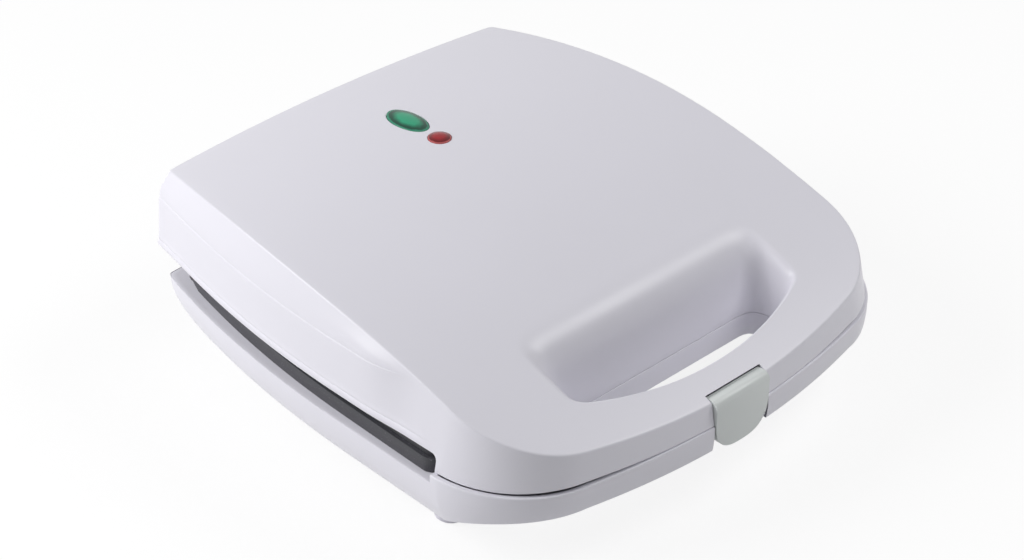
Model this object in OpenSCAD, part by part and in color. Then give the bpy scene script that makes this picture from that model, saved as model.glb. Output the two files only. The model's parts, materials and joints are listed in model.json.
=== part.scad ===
// Sandwich toaster for four sandwiches: hinged white shells, two heating plates and a handle
// split between them. X runs to the right, Y to the rear and Z up. The feet stand on z = 0.
// Plan positions are laid out from the middle of the lid's rear edge, then moved by seat_y so that
// the machine is centred on the origin.

/* [Casing outline] */
// Greatest width of the lid's top face
top_w = 248; // [240:1:260]
// Width of the lid's top face at the rear
rear_w = 212; // [206:1:218]
// Length of the lid's top face along its middle
top_l = 274.5; // [270:0.5:282]
// Distance from the rear edge to the widest place
widest_l = 150; // [140:5:160]
// How far the rear edge bows back
rear_bow = 4.5; // [4:0.1:5]
// Radius of the front edge
front_r = 380; // [340:10:420]
// Radius of the front corners
corner_r = 48; // [44:1:52]
// Radius of the rear corners
rear_corner_r = 3; // [2:0.5:4]

/* [Heights] */
// Height of the feet below the base
foot_h = 10; // [8:0.5:12]
// Depth of the base bowl below its flange
bowl_h = 30.5; // [29:0.5:34]
// Step from the base flange up to the parting plane of the handle
handle_step = 4.5; // [4:0.25:5.5]
// Height of the slot between the base flange and the lid's skirt
slot_h = 12.5; // [12:0.25:14]
// Height of the lid's skirt, up to the groove under the shoulder
skirt_h = 25; // [22:0.5:27]
// Height of the top face's highest line above the groove
dome_h = 21.8; // [20:0.2:24]
// Distance of that highest line from the rear edge
peak_l = 72; // [66:1:78]
// Height of the lid's front edge above the parting plane of the handle
front_h = 11.5; // [10.5:0.25:13]
// Rise of the top face from its sides to its middle
crown = 3; // [2:0.5:4]

/* [Shells] */
// Wall thickness of both shells
wall = 2.4; // [2:0.1:2.8]
// How far the lid's skirt stands out at the rear
skirt_rear = 7.2; // [6.8:0.1:7.6]
// How far the lid's skirt stands out beside the slot's front end
skirt_side = 6.3; // [5.8:0.1:6.8]
// How far the handle's front stands out from the lid's crease
skirt_front = 2; // [1.8:0.1:2.4]
// How far the lid's shoulder leans in above the groove
shoulder_lean = 1.8; // [1.4:0.1:2.2]
// Rounding of the lid's crease
edge_r = 0.8; // [0.5:0.1:1]
// How far the base flange stands out at the rear
rim_rear = 7; // [6.5:0.1:7.4]
// How far the base flange stands out beside the slot's front end
rim_side = 8.9; // [8.5:0.1:9.3]
// How far the base's handle half stands out at the front
rim_front = 2.5; // [2.2:0.1:2.8]
// How far the base ends short of the lid's rear edge
rim_short = 3; // [2.5:0.25:4]
// How far the bowl's sides draw in towards its bottom
bowl_draw = 19; // [17:0.5:19.5]
// Thickness of the base's flange
flange_t = 2.5; // [2:0.1:3]
// Distance from the front end of the slot to the front edge
handle_l = 60.5; // [59:0.5:62.5]
// Rounding of the slot's upper front corner
slot_corner_r = 3; // [2:0.5:4]

/* [Finger opening] */
// Half width of the opening at the parting plane
grip_half_w = 65; // [60:1:68]
// Distance from the slot's front end to the opening's rear wall at the parting plane
grip_wall = 11; // [10.5:0.25:13]
// Width of the handle's bar in front of the opening, at its middle
bar_w = 16; // [15:0.5:17.5]
// How far the opening's front wall bows forward
grip_bow = 16; // [14:0.5:18]
// Radius of the opening's rear corners
grip_r = 8; // [6:0.5:10]
// Height of the scoop's bend below the top face
scoop_drop = 5; // [4:0.5:6]
// How far the scoop widens the opening at its bend
scoop_bend = 7; // [6:0.25:8]
// How far the scoop widens the opening at the top face
scoop_lip = 20; // [17:0.5:21]
// How far the opening widens to the sides down to the worktop
under_flare = 36; // [32:1:38]
// How far the opening widens to the rear down to the worktop
under_sweep = 40; // [36:1:42]
// Height of the straight wall below the parting plane
grip_under = 12; // [11:0.5:13]
// Rise of the handle's underside from the base's bottom
under_h = 21.5; // [20:0.5:22.5]
// Distance behind the slot's front end at which the underside starts to rise
under_back = 9; // [8:0.5:12]
// How sharply the underside turns up there, as the power of its curve
under_bend = 2.5; // [2:0.1:2.8]

/* [Latch] */
// Width of the latch's notch
notch_w = 36; // [33:0.5:40]
// Clearance beside the latch
latch_gap = 0.5; // [0.3:0.05:0.8]
// Thickness of the latch's front
latch_t = 3.4; // [3:0.1:3.8]
// Depth of the latch's top lip from front to rear
latch_lip = 7.5; // [7:0.25:8]
// Radius of the latch's bend
latch_bend_r = 2.6; // [2:0.2:3]
// Length of the latch's straight sides below its pin
latch_side_h = 5.5; // [4.5:0.25:6.5]
// Length of the latch below its pin
latch_drop = 23.8; // [23:0.2:24.6]
// Diameter of the latch's pin
latch_pin_d = 2.4; // [2:0.1:2.6]
// Depth of the latch's hook
hook_l = 2.6; // [2:0.1:3]
// Clearance between hook and ledge
hook_gap = 0.4; // [0.3:0.05:0.6]
// Thickness of the base's ledge that the hook catches
ledge_t = 7.5; // [7:0.25:8]

/* [Plates] */
// Gap between the closed plates
plate_gap = 0.3; // [0.25:0.05:0.5]
// Distance of the plates' rear edge from the lid's rear edge
plate_rear = 9.5; // [9:0.25:11]
// Distance of the plates' front edge from the slot's front end
plate_short = 2; // [1.5:0.5:4]
// How far the plates stand out from the crease at the rear
plate_out_rear = 0.8; // [0.4:0.1:1.2]
// How far the lower plate stands out from the crease at the front
plate_out_front = 5; // [4.5:0.1:5.5]
// Clearance between the upper plate and the lid's skirt
plate_clear = 1; // [0.8:0.1:1.4]
// Radius of the plates' corners
plate_corner_r = 7; // [5:0.5:9]
// Height of the plates' outer edge
plate_h = 7.8; // [7:0.1:7.9]
// Thickness of the cast plates
plate_t = 2.6; // [2.2:0.1:3]
// Distance of the field of pockets from the lid's widest place
field_side = 29; // [28:0.5:34]
// Distance from the rear edge to the field of pockets
field_rear = 20; // [18:0.5:22]
// Distance from the field of pockets to the plates' front edge
field_short = 8; // [7.5:0.5:12]
// Width of the seams between the pockets
seam_w = 5; // [4:0.25:7]
// Depth of the pockets
pocket_h = 10; // [8:0.25:10.5]
// How far the pockets narrow towards their bottom
pocket_draft = 4; // [3:0.25:5]

/* [Heating] */
// Diameter of the tubular elements
tube_d = 6.4; // [5.5:0.1:6.6]
// Half distance between the element's legs
leg_x = 48; // [44:1:56]
// Radius of the element's bends
tube_bend_r = 20; // [16:1:24]
// Distance from the front of the field of pockets to the element's front run
tube_in = 18; // [14:1:24]
// Thickness of the reflector sheet
sheet_t = 0.8; // [0.6:0.1:1]
// Height of the reflector above the pockets
reflector_gap = 9.5; // [9:0.25:10]
// Clearance around fitted pieces
fit = 0.15; // [0.1:0.05:0.25]
// Diameter of the thermostat
thermostat_d = 17; // [15:0.5:20]
// Height of the thermostat
thermostat_h = 9; // [8:0.25:9.3]

/* [Lamps] */
// Length of the green lens
green_l = 27; // [24:0.5:28]
// Width of the green lens
green_w = 14.5; // [12:0.5:16]
// Diameter of the red lens
red_d = 11.6; // [10:0.2:12]
// Distance of the green lens from the rear edge
green_at = 53.5; // [51:0.5:54]
// Distance of the red lens from the rear edge
red_at = 76.5; // [76:0.5:79]
// Height of the lens domes over the lid
lens_rise = 1.2; // [0.8:0.1:1.6]
// Clearance around the lenses
lens_gap = 0.25; // [0.2:0.05:0.4]

/* [Hinge] */
// Distance of the hinge axis in front of the lid's rear edge
hinge_in = 1; // [0.5:0.25:1.5]
// Height of the hinge axis above the base flange
hinge_rise = 6.5; // [6.3:0.1:7]
// Radius of the hinge knuckles
knuckle_r = 6; // [5.5:0.1:6.2]
// Diameter of the hinge pins
hinge_pin_d = 4; // [3.5:0.1:4.5]
// Running clearance of the pins, all round
pin_play = 0.05; // [0.03:0.01:0.08]
// Distance of each hinge from the middle
hinge_x = 72; // [68:1:76]
// Width of the lid's knuckles
knuckle_w = 12; // [10:0.5:14]
// Width of each of the base's ears
ear_w = 6; // [5:0.5:7]
// Side clearance between knuckle and ears
knuckle_gap = 0.4; // [0.3:0.05:0.6]
// Bore of the middle saddle, which leads the wires past the hinge
sleeve_d = 7; // [6:0.25:7.5]

/* [Fixings] */
// Diameter of the screws
screw_d = 3.5; // [3:0.1:3.9]
// Diameter of the screw heads
head_d = 6.6; // [6:0.1:7]
// Diameter of the screw posts
post_d = 9; // [8:0.25:9.5]
// Distance of the rear plate screws from the rear edge
screw_rear_at = 42; // [40:1:50]
// Distance of the rear plate screws in from the crease
screw_rear_in = 9.4; // [9:0.1:9.8]
// Distance of the front plate screws from the slot's front end
screw_front_back = 34; // [29:1:44]
// Distance of the front plate screws in from the crease
screw_front_in = 11; // [9:0.5:12]

/* [Base fittings] */
// Diameter of the feet
foot_d = 16; // [15:0.5:17]
// Distance of the front feet in from the lid's widest place
foot_front_in = 17; // [17:1:20]
// Distance of the front feet from the slot's front end
foot_front_back = 15; // [14:1:18]
// Distance of the rear feet in from the rear corners
foot_rear_in = 22; // [20:1:28]
// Distance of the rear feet from the rear edge
foot_rear_at = 38; // [36:1:44]
// Diameter of the feet's stems
stem_d = 7; // [6:0.25:8]
// Diameter of the hole for the cord
inlet_d = 8; // [7:0.25:9]
// Distance of the cord hole from the middle
inlet_x = 36; // [30:1:42]
// Diameter of the wires
wire_d = 2.4; // [2:0.1:2.8]

/* [Hidden] */
$fn = 48;
whole = 400;                 // a length that reaches past the whole machine
past = 1;                    // how far a cut runs past the face that it leaves
eps = 0.01;
rear_n = 4;                  // steps of the outline's arcs
rear_corner_n = 2;
side_n = 5;
corner_n = 6;
front_n = 4;
bowl_n = 4;
under_n = 6;

flange_z = foot_h + bowl_h;
part_z = flange_z + handle_step;
skirt_z = flange_z + slot_h;
groove_z = skirt_z + skirt_h;
peak_z = groove_z + dome_h;
floor_z = foot_h + wall;
arch_r = pow(top_l - peak_l, 2) / (2 * (peak_z - part_z - front_h));

slot_l = top_l - handle_l;
grip_rear = slot_l + grip_wall;
grip_front = top_l - bar_w;
plate_front = slot_l - plate_short;
field_half_w = top_w / 2 - field_side;
field_front = plate_front - field_short;
tube_front = field_front - tube_in;
screw_front_at = slot_l - screw_front_back;
foot_front_at = slot_l - foot_front_back;
foot_front_x = top_w / 2 - foot_front_in;
foot_rear_x = rear_w / 2 - foot_rear_in;

side_drop = (top_w - rear_w) / 2;
side_r = (pow(widest_l, 2) + pow(side_drop, 2)) / (2 * side_drop);
side_a = asin(widest_l / side_r);
rear_r = (pow(rear_w / 2, 2) + pow(rear_bow, 2)) / (2 * rear_bow);
rear_a = acos(rear_w / 2 / rear_r);
front_c = front_r - top_l;
corner_x = top_w / 2 - corner_r;
corner_y = front_c - sqrt(pow(front_r - corner_r, 2) - pow(corner_x, 2));
front_a = atan2(front_c - corner_y, corner_x);
rear_mid_a = (side_a + rear_a) / 2;
rear_corner_reach = rear_corner_r / cos((rear_a - side_a) / 2);
mid_y = -top_l / 2;

front_reach = top_l + max(skirt_front, rim_front);
skirt_foot_lean = shoulder_lean * (skirt_z - part_z) / (groove_z - part_z);
rear_reach = rear_bow + skirt_rear - skirt_foot_lean;
seat_y = (front_reach - rear_reach) / 2;

lid_rim = [skirt_rear, skirt_side, skirt_front];
lid_shoulder = [skirt_rear - shoulder_lean, skirt_side - shoulder_lean, skirt_front - shoulder_lean / 2];
base_rim = [rim_rear, rim_side, rim_front];

hinge_y = -hinge_in;
hinge_z = flange_z + hinge_rise;

plate_low_z = flange_z + plate_h;
plate_up_z = plate_low_z + plate_gap;
pocket_back = pocket_h + plate_t;
tube_off = pocket_back + tube_d / 2 + fit;
reflector_off = pocket_back + reflector_gap;

latch_pin_y = -(top_l + skirt_front - latch_t / 2 - latch_bend_r);
latch_top_z = dome_z(0, latch_pin_y);
latch_front_y = -(top_l + rim_front);
latch_pin_z = latch_top_z - latch_bend_r - latch_t / 2;
latch_w = notch_w - 2 * latch_gap;
latch_swing_r = norm([latch_lip - latch_t / 2 - latch_bend_r, latch_bend_r + latch_t / 2]) + latch_gap;
ledge_z = part_z - ledge_t;

screw_rear_x = crease_x(-screw_rear_at) - screw_rear_in;
screw_front_x = crease_x(-screw_front_at) - screw_front_in;
post_places = [for (s = [-1, 1]) each
    [[s * screw_rear_x, -screw_rear_at], [s * screw_front_x, -screw_front_at]]];
foot_places = [for (s = [-1, 1]) each
    [[s * foot_front_x, -foot_front_at], [s * foot_rear_x, -foot_rear_at]]];
strap_places = [for (s = [-1, 1], t = [0.27, 0.7]) [s * leg_x, -mix(field_rear, field_front, t)]];
strap_half = tube_d / 2 + 6;
strap_w = 9;
strap_t = 1;
rivet_d = 3;
rivet_l = 2;
rivet_head_h = 1;

plate_skirt_t = 3;
field_mid = -(field_rear + field_front) / 2;
field_half_l = (field_front - field_rear) / 2;
head_h = 2;
screw_l = 14;
screw_top_z = plate_up_z + screw_l + 1;
screw_low_z = plate_low_z - screw_l - 1;
post_root = 0.4;
post_foot_z = floor_z - post_root;
seat_w = 4;                  // ledge of the flange under the lower plate's edge
riser_at = 36;
pin_d = 3;
pin_out = 7;
bead_d = 9;
bead_l = 5;
reflector_clear = 0.3;
loose = 0.5;                 // play of lamps and wires in their seats
fuse_d = 4;
fuse_l = 14;
fuse_lead_d = 1.2;
fuse_x = -22;
fuse_y = -30;
fuse_off = reflector_off + sheet_t + fuse_d / 2 + fit;
thermostat_lug = thermostat_d / 2 + 7;
thermostat_lug_w = 8;
thermostat_rivet_x = thermostat_lug - 3;
thermostat_hole_d = 14;
tab_x = 4;
tab_w = 6;
tab_t = 0.8;
tab_h = 6;

small_screw_d = 3;
small_screw_l = 9;
small_head_h = 2;
holder_past = 10;            // how far the holder's screws stand off the lenses
holder_ends = [-green_at + green_l / 2 + holder_past, -red_at - red_d / 2 - holder_past];
holder_post_d = 8;
holder_t = 7;
holder_floor = 0.8;
holder_w = 18;
lens_n = 32;
lens_edge = 0.4;
lens_seat = 1;
lens_flange = 1.4;
lens_round = 3.4;
lens_clear = 0.8;
holder_z = dome_z(0, -green_at) - wall - lens_seat - lens_flange - holder_t - lens_clear;
holder_screw_top = holder_z + small_screw_l + loose;
neon_l = 12;
neon_d = 5.6;

lip_t = 1.8;
hook_h = 3.6;
hub_r = 2.4;
latch_chamfer = 0.8;
latch_pin_grip = 4;          // how deep the pin's ends sit in the lid
latch_pin_half = notch_w / 2 + latch_pin_grip;

web_half = 5;
web_top_z = hinge_z + 20;
web_low_z = skirt_z + 2;
web_back_y = skirt_rear + rear_bow / 4;
ear_off = knuckle_w / 2 + knuckle_gap + ear_w / 2;
clip_t = 0.8;
clip_d = 8;
clip_at = ear_off + ear_w / 2 + clip_t;
pin_half = clip_at + clip_t;
saddle_w = 16;
sleeve_half = 12;
sleeve_t = 1;
wire_hole_x = 17;
wire_hole_y = -5;
wire_hole_d = 4.5;

inlet_z = foot_h + bowl_h / 2;
bush_wall = 2.2;
bush_d = inlet_d + 2 * bush_wall;
bush_pad = 12;               // from the lid's rear edge to the inner face of the pad round the bush
bush_out_y = rear_bow - rim_short - 1;
bush_in_y = -bush_pad - fit;
bush_collar = 2;
bush_collar_t = 3;
stem_boss_h = 3;
foot_round = 2.5;
block_x = inlet_x;
block_y = -64;
block_w = 30;
block_d = 16;
block_h = 10.5;
block_pitch = 10;
wire_n = 8;
wire_steps = 4;
crimp_l = 9;
tag_w = 8;
tag_l = 14;

// ---- Outline of the casing -------------------------------------------------------------------

function mix(a, b, t) = a + (b - a) * min(max(t, 0), 1);
function turn(a) = [cos(a), sin(a)];

// Height of the lid's top face over a point of the plan
function dome_z(x, y) = peak_z - pow(y + peak_l, 2) / (2 * arch_r)
    + crown * (1 - pow(2 * x / top_w, 2)) * (1 - pow(y / top_l, 2));

// Distance of the crease from the middle at a place along the side
function crease_x(y) = y < -widest_l ? top_w / 2
    : top_w / 2 - side_r + sqrt(pow(side_r, 2) - pow(y + widest_l, 2));

// Right half of the outline, from the rear middle round to the front middle. out holds how far it
// stands outside the crease at the rear corner, beside the slot's front end and at the front.
function half_outline(out, back) = concat(
    [for (i = [0:rear_n - 1]) let (x = i / rear_n * (rear_w / 2 - rear_corner_r))
        [x * (1 + 2 * out[0] / rear_w), rear_bow - rear_r + sqrt(pow(rear_r, 2) - pow(x, 2)) + back]],
    [for (i = [0:rear_corner_n]) let (a = mix(rear_a, side_a, i / rear_corner_n))
        [rear_w / 2 + out[0], back] - rear_corner_reach * turn(rear_mid_a) + rear_corner_r * turn(a)],
    [for (i = [1:side_n]) let (p = [top_w / 2 - side_r, -widest_l] + side_r * turn(side_a * (1 - i / side_n)))
        p + [mix(out[0], out[1], p[1] / corner_y), 0]],
    [for (i = [0:corner_n]) let (t = i / corner_n)
        [corner_x, corner_y] + (corner_r + mix(out[1], out[2], t)) * turn(-front_a * t)],
    [for (i = [1:front_n]) [0, front_c] + (front_r + out[2]) * turn(mix(-front_a, -90, i / front_n))]);

// Whole outline, clockwise from above
function outline(out, back) = let (h = half_outline(out, back), n = len(h))
    concat(h, [for (i = [n - 2:-1:1]) [-h[i][0], h[i][1]]]);

function less(out, d) = [for (o = out) o - d];
function at_z(ring, z) = [for (p = ring) [p[0], p[1], z]];
function under_dome(ring, drop, most) = [for (p = ring) [p[0], p[1], min(dome_z(p[0], p[1]) - drop, most)]];
function shrunk(ring, s) = [for (p = ring) [p[0] * s, mid_y + (p[1] - mid_y) * s]];

// Solid through a stack of rings of equal length, each clockwise from above, from the bottom up,
// closed at the top by a flat face or by a point
module loft(rings, tip) {
    n = len(rings[0]);
    m = len(rings);
    walls = [for (k = [0:m - 2], i = [0:n - 1]) let (j = (i + 1) % n)
        each [[k * n + i, k * n + j, (k + 1) * n + j], [k * n + i, (k + 1) * n + j, (k + 1) * n + i]]];
    low = [[for (i = [n - 1:-1:0]) i]];
    high = tip == undef ? [[for (i = [0:n - 1]) (m - 1) * n + i]]
        : [for (i = [0:n - 1]) [(m - 1) * n + i, (m - 1) * n + (i + 1) % n, m * n]];
    polyhedron(points = concat([for (r = rings) each r], tip == undef ? [] : [tip]),
        faces = concat(low, walls, high), convexity = 6);
}

// The lid's outer form, or its hollow where inset is the wall
module lid_form(inset, low_z) {
    crease = outline(less([0, 0, 0], inset), -inset);
    top = outline(less([0, 0, 0], inset + edge_r), -inset - edge_r);
    lean = edge_r + inset;
    loft(concat(
        [at_z(outline(less(lid_rim, inset), skirt_rear - inset), low_z)],
        [under_dome(outline(less(lid_shoulder, inset), skirt_rear - shoulder_lean - inset), lean + edge_r,
            groove_z - inset / 2)],
        [under_dome(crease, lean, whole)],
        [for (s = [1, 0.75, 0.5, 0.25]) under_dome(shrunk(top, s), inset, whole)]),
        [0, mid_y, dome_z(0, mid_y) - inset]);
}

// The base's outer form, or its hollow where inset is the wall
module base_form(inset, high_z) {
    loft(concat(
        [for (i = [bowl_n:-1:0]) let (a = 90 * i / bowl_n, d = inset + bowl_draw * (1 - cos(a)))
            at_z(outline(less(base_rim, d), -rim_short - d), flange_z - (bowl_h - inset) * sin(a))],
        [at_z(outline(less(base_rim, inset), -rim_short - inset), high_z)]));
}

// ---- Finger opening --------------------------------------------------------------------------

// Outline of the finger opening, grown sideways, to the rear and to the front
function grip_ring(side, back, ahead, z) = let (
        w = grip_half_w + side, r = max(grip_r, side / 2),
        ry = -grip_rear + back, fy = -grip_front - ahead,
        arc_r = (pow(w, 2) + pow(grip_bow, 2)) / (2 * grip_bow), arc_a = asin(w / arc_r),
        half = concat(
            [for (a = [90, 60, 30, 0]) [w - r, ry - r] + r * turn(a)],
            [for (t = [1, 0.75, 0.5, 0.25, 0]) [0, fy + arc_r] + arc_r * [sin(arc_a * t), -cos(arc_a * t)]]))
    at_z(concat(half, [for (i = [len(half) - 2:-1:0]) [-half[i][0], half[i][1]]]), z);

// The finger opening with its scoop, grown by the wall where that is wanted
module grip_space(grow) {
    bend_z = dome_z(0, -grip_rear) - scoop_drop;
    lip_z = dome_z(0, -grip_rear + scoop_lip) + grow;
    loft([
        grip_ring(under_flare + grow, under_sweep + grow, grow, -eps),
        grip_ring(grow, grow, grow, part_z - grip_under),
        grip_ring(grow, grow, grow, part_z),
        grip_ring(scoop_bend + grow, scoop_bend + grow, grow, bend_z),
        grip_ring(scoop_lip / 2 + grow, scoop_lip + grow, grow, lip_z),
        grip_ring(scoop_lip / 2 + grow, scoop_lip + grow, grow, whole / 2)]);
}

// ---- Shells ----------------------------------------------------------------------------------

// Underside of the handle, which rises from the bowl's bottom to the front
under_line = [for (i = [0:under_n]) let (t = i / under_n)
    [under_back - slot_l - t * (handle_l + under_back), foot_h + under_h * (1 - pow(1 - t, under_bend))]];

module along_x(length) {
    rotate([90, 0, 90]) linear_extrude(length, center = true) children();
}

// Everything below the handle's underside, raised by the floor's thickness where that is wanted
module below_handle(raise) {
    along_x(whole) polygon(concat([for (p = under_line) p + [0, raise]],
        [[-whole, foot_h + under_h + raise], [-whole, -whole], [under_back - slot_l, -whole]]));
}

module block(x0, x1, y0, y1, z0, z1) {
    translate([x0, y0, z0]) cube([x1 - x0, y1 - y0, z1 - z0]);
}

module rod_y(x, z, y0, y1, d) {
    translate([x, y1, z]) rotate([90, 0, 0]) cylinder(d = d, h = y1 - y0);
}

module rod_x(x0, x1, y, z, d) {
    translate([x0, y, z]) rotate([0, 90, 0]) cylinder(d = d, h = x1 - x0);
}

// Space in front of the latch's swing, cut from the handle of both shells
module latch_notch() {
    rod_x(-notch_w / 2, notch_w / 2, latch_pin_y, latch_pin_z, 2 * latch_swing_r);
    block(-notch_w / 2, notch_w / 2, -whole, latch_pin_y, part_z - eps, whole);
    block(-notch_w / 2, notch_w / 2, -whole, latch_front_y + latch_t + latch_gap, foot_h, part_z);
    block(-notch_w / 2, notch_w / 2, -whole, latch_front_y + latch_t + latch_gap + hook_l + hook_gap,
        foot_h, ledge_z);
}

// Solid middle of both handle halves, which carries the latch's pin, notch and ledge
module latch_block() {
    block(-notch_w / 2 - 2 * wall, notch_w / 2 + 2 * wall, -whole, -grip_front, 0, whole);
}

// Slot between the skirt of the lid and the flange of the base, with its rounded upper corner
module side_slot() {
    block(-whole, whole, -slot_l + slot_corner_r, whole, 0, skirt_z);
    block(-whole, whole, -slot_l, whole, 0, skirt_z - slot_corner_r);
    rod_x(-whole, whole, -slot_l + slot_corner_r, skirt_z - slot_corner_r, 2 * slot_corner_r);
}

module at_posts(z) {
    for (p = post_places) translate([p[0], p[1], z]) children();
}

module at_holder_ends(z) {
    for (y = holder_ends) translate([0, y, z]) children();
}

module at_feet(z) {
    for (p = foot_places) translate([p[0], p[1], z]) children();
}

// Knuckle of the lid's hinge with the web that carries it
module lid_knuckle() {
    half = knuckle_w / 2;
    rod_x(-half, half, hinge_y, hinge_z, 2 * knuckle_r);
    block(-half, half, hinge_y - web_half, hinge_y + web_half, hinge_z, web_top_z);
    block(-half, half, hinge_y - web_half, web_back_y, web_low_z, web_top_z);
}

module hinge_bores() {
    rod_x(-hinge_x - pin_half, hinge_x + pin_half, hinge_y, hinge_z, hinge_pin_d + 2 * pin_play);
}

// Window for a lens in the lid's top
module window(at, length, width) {
    translate([0, -at, groove_z]) linear_extrude(whole) oval(length + 2 * lens_gap, width + 2 * lens_gap);
}

// What stands in the lid's hollow: the handle's walls, the screw posts and the lamp holder's posts
module lid_inside() {
    block(-whole, whole, -slot_l - wall, -slot_l, 0, whole);
    grip_space(wall);
    latch_block();
    at_posts(plate_up_z + plate_t) cylinder(d = post_d, h = whole);
    at_holder_ends(holder_z + holder_t) cylinder(d = holder_post_d, h = whole);
}

module lid_cover() {
    color("ghostwhite") translate([0, seat_y, 0]) difference() {
        union() {
            difference() {
                lid_form(0, part_z);
                difference() {
                    lid_form(wall, part_z - wall);
                    lid_inside();
                }
                side_slot();
            }
            for (s = [-1, 1]) translate([s * hinge_x, 0, 0]) lid_knuckle();
        }
        grip_space(0);
        latch_notch();
        rod_x(-latch_pin_half, latch_pin_half, latch_pin_y, latch_pin_z, latch_pin_d + 2 * pin_play);
        hinge_bores();
        at_posts(0) cylinder(d = screw_d + 2 * fit, h = screw_top_z);
        at_holder_ends(0) cylinder(d = small_screw_d + 2 * fit, h = holder_screw_top);
        window(green_at, green_l, green_w);
        window(red_at, red_d, red_d);
    }
}

// Ear of the base's hinge, centred on x
module base_ear(x, width) {
    rod_x(x - width / 2, x + width / 2, hinge_y, hinge_z, 2 * knuckle_r);
    block(x - width / 2, x + width / 2, hinge_y - knuckle_r, hinge_y, flange_z - flange_t / 2, hinge_z);
}

// Slot for the cord's bush through the base's rear, round below and open at the top
module bush_slot(grow, y0, y1, top_z) {
    half = bush_d / 2 + grow;
    rod_y(inlet_x, inlet_z, y0, y1, 2 * half);
    block(inlet_x - half, inlet_x + half, y0, y1, inlet_z, top_z);
}

// What stands in the base's hollow: the flange, the handle's walls, the pad round the cord's bush and
// the feet's bosses
module base_inside() {
    below_handle(wall);
    block(-whole, whole, -slot_l - wall, whole, flange_z - flange_t, whole);
    block(-whole, whole, -slot_l - wall, -slot_l, 0, whole);
    grip_space(wall);
    latch_block();
    bush_slot(wall, -bush_pad, whole, whole);
    at_feet(0) cylinder(d = stem_d + 2 * wall, h = floor_z + stem_boss_h);
}

module base_cover() {
    color("whitesmoke") translate([0, seat_y, 0]) difference() {
        union() {
            difference() {
                base_form(0, part_z);
                block(-whole, whole, -slot_l, whole, flange_z, whole);
                below_handle(0);
                difference() {
                    base_form(wall, part_z + wall);
                    base_inside();
                }
                loft([plate_ring(plate_out_front, seat_w, flange_z - flange_t - past),
                    plate_ring(plate_out_front, seat_w, flange_z + past)]);
            }
            at_posts(post_foot_z) cylinder(d = post_d, h = plate_low_z - plate_t - post_foot_z);
            for (s = [-1, 1], t = [-1, 1]) base_ear(s * hinge_x + t * ear_off, ear_w);
            base_ear(0, saddle_w);
        }
        grip_space(0);
        latch_notch();
        hinge_bores();
        rod_x(-saddle_w, saddle_w, hinge_y, hinge_z, sleeve_d);
        bush_slot(fit, -bush_pad - past, whole / 2, flange_z + past);
        translate([-wire_hole_x, wire_hole_y, floor_z]) cylinder(d = wire_hole_d, h = flange_z);
        at_posts(screw_low_z) cylinder(d = screw_d + 2 * fit, h = part_z);
        at_feet(0) cylinder(d = stem_d, h = floor_z + stem_boss_h + past);
    }
}

// ---- Plates ----------------------------------------------------------------------------------

// Local frame of a plate: its cooking face on z = 0, its back downwards. The upper one is turned over.
module at_plate(up) {
    translate([0, seat_y, up ? plate_up_z : plate_low_z]) mirror([0, 0, up ? 1 : 0]) children();
}

// Outline of a plate, out from the crease at the rear and front, less an inset
function plate_ring(out_front, inset, z) = let (
        r = plate_corner_r - inset / 2, ry = -plate_rear - inset, fy = -plate_front + inset,
        wr = crease_x(ry) + plate_out_rear - inset, wf = crease_x(fy) + out_front - inset,
        half = concat(
            [for (a = [90, 60, 30, 0]) [wr - r, ry - r] + r * turn(a)],
            [for (t = [0.25, 0.5, 0.75]) let (y = mix(ry - r, fy + r, t))
                [crease_x(y) + mix(plate_out_rear, out_front, t) - inset, y]],
            [for (a = [0, -30, -60, -90]) [wf - r, fy + r] + r * turn(a)]))
    at_z(concat(half, [for (i = [len(half) - 1:-1:0]) [-half[i][0], half[i][1]]]), z);

// Triangle drawn in on all sides by the same distance
function tri_inset(t, d) = let (
        a = norm(t[1] - t[2]), b = norm(t[2] - t[0]), c = norm(t[0] - t[1]),
        mid = (a * t[0] + b * t[1] + c * t[2]) / (a + b + c),
        area = abs(cross(t[1] - t[0], t[2] - t[0])) / 2, r = 2 * area / (a + b + c))
    [for (p = t) mid + (p - mid) * (1 - d / r)];

function clockwise(t) = cross(t[1] - t[0], t[2] - t[0]) > 0 ? [t[2], t[1], t[0]] : t;

// The two halves of the pocket for one sandwich, sx and sy choosing the quarter
function quarter(sx, sy) = let (
        near = [0, field_mid], far = [sx * field_half_w, field_mid + sy * field_half_l])
    [for (side = [[far[0], near[1]], [near[0], far[1]]]) clockwise([near, side, far])];

module pocket_cuts() {
    for (sx = [-1, 1], sy = [-1, 1], t = quarter(sx, sy))
        loft([at_z(tri_inset(t, seam_w / 2 + pocket_draft), -pocket_h), at_z(tri_inset(t, seam_w / 2), eps)]);
}

module field_block(grow, low_z, high_z) {
    block(-field_half_w - grow, field_half_w + grow, -field_front - grow, -field_rear + grow, low_z, high_z);
}

module plate(out_front) {
    difference() {
        union() {
            difference() {
                loft([plate_ring(out_front, 0, -plate_h), plate_ring(out_front, 0, 0)]);
                loft([plate_ring(out_front, plate_skirt_t, -plate_h - past),
                    plate_ring(out_front, plate_skirt_t, -plate_t)]);
            }
            field_block(plate_t, -pocket_back, -plate_t / 2);
        }
        pocket_cuts();
        at_posts(-plate_h) cylinder(d = screw_d + 2 * fit, h = 2 * plate_h);
        at_posts(-head_h - fit) cylinder(d1 = screw_d + 2 * fit, d2 = head_d + 2 * fit, h = head_h);
        at_posts(-fit - eps) cylinder(d = head_d + 2 * fit, h = 2 * fit);
        rivet_places() rivet_hole();
    }
}

module plate_screws() {
    at_posts(-screw_l) cylinder(d = screw_d, h = screw_l - head_h + eps);
    at_posts(-head_h - fit) cylinder(d1 = screw_d, d2 = head_d, h = head_h);
}

module lower_plate() { color("dimgray") at_plate(false) plate(plate_out_front); }

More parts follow.
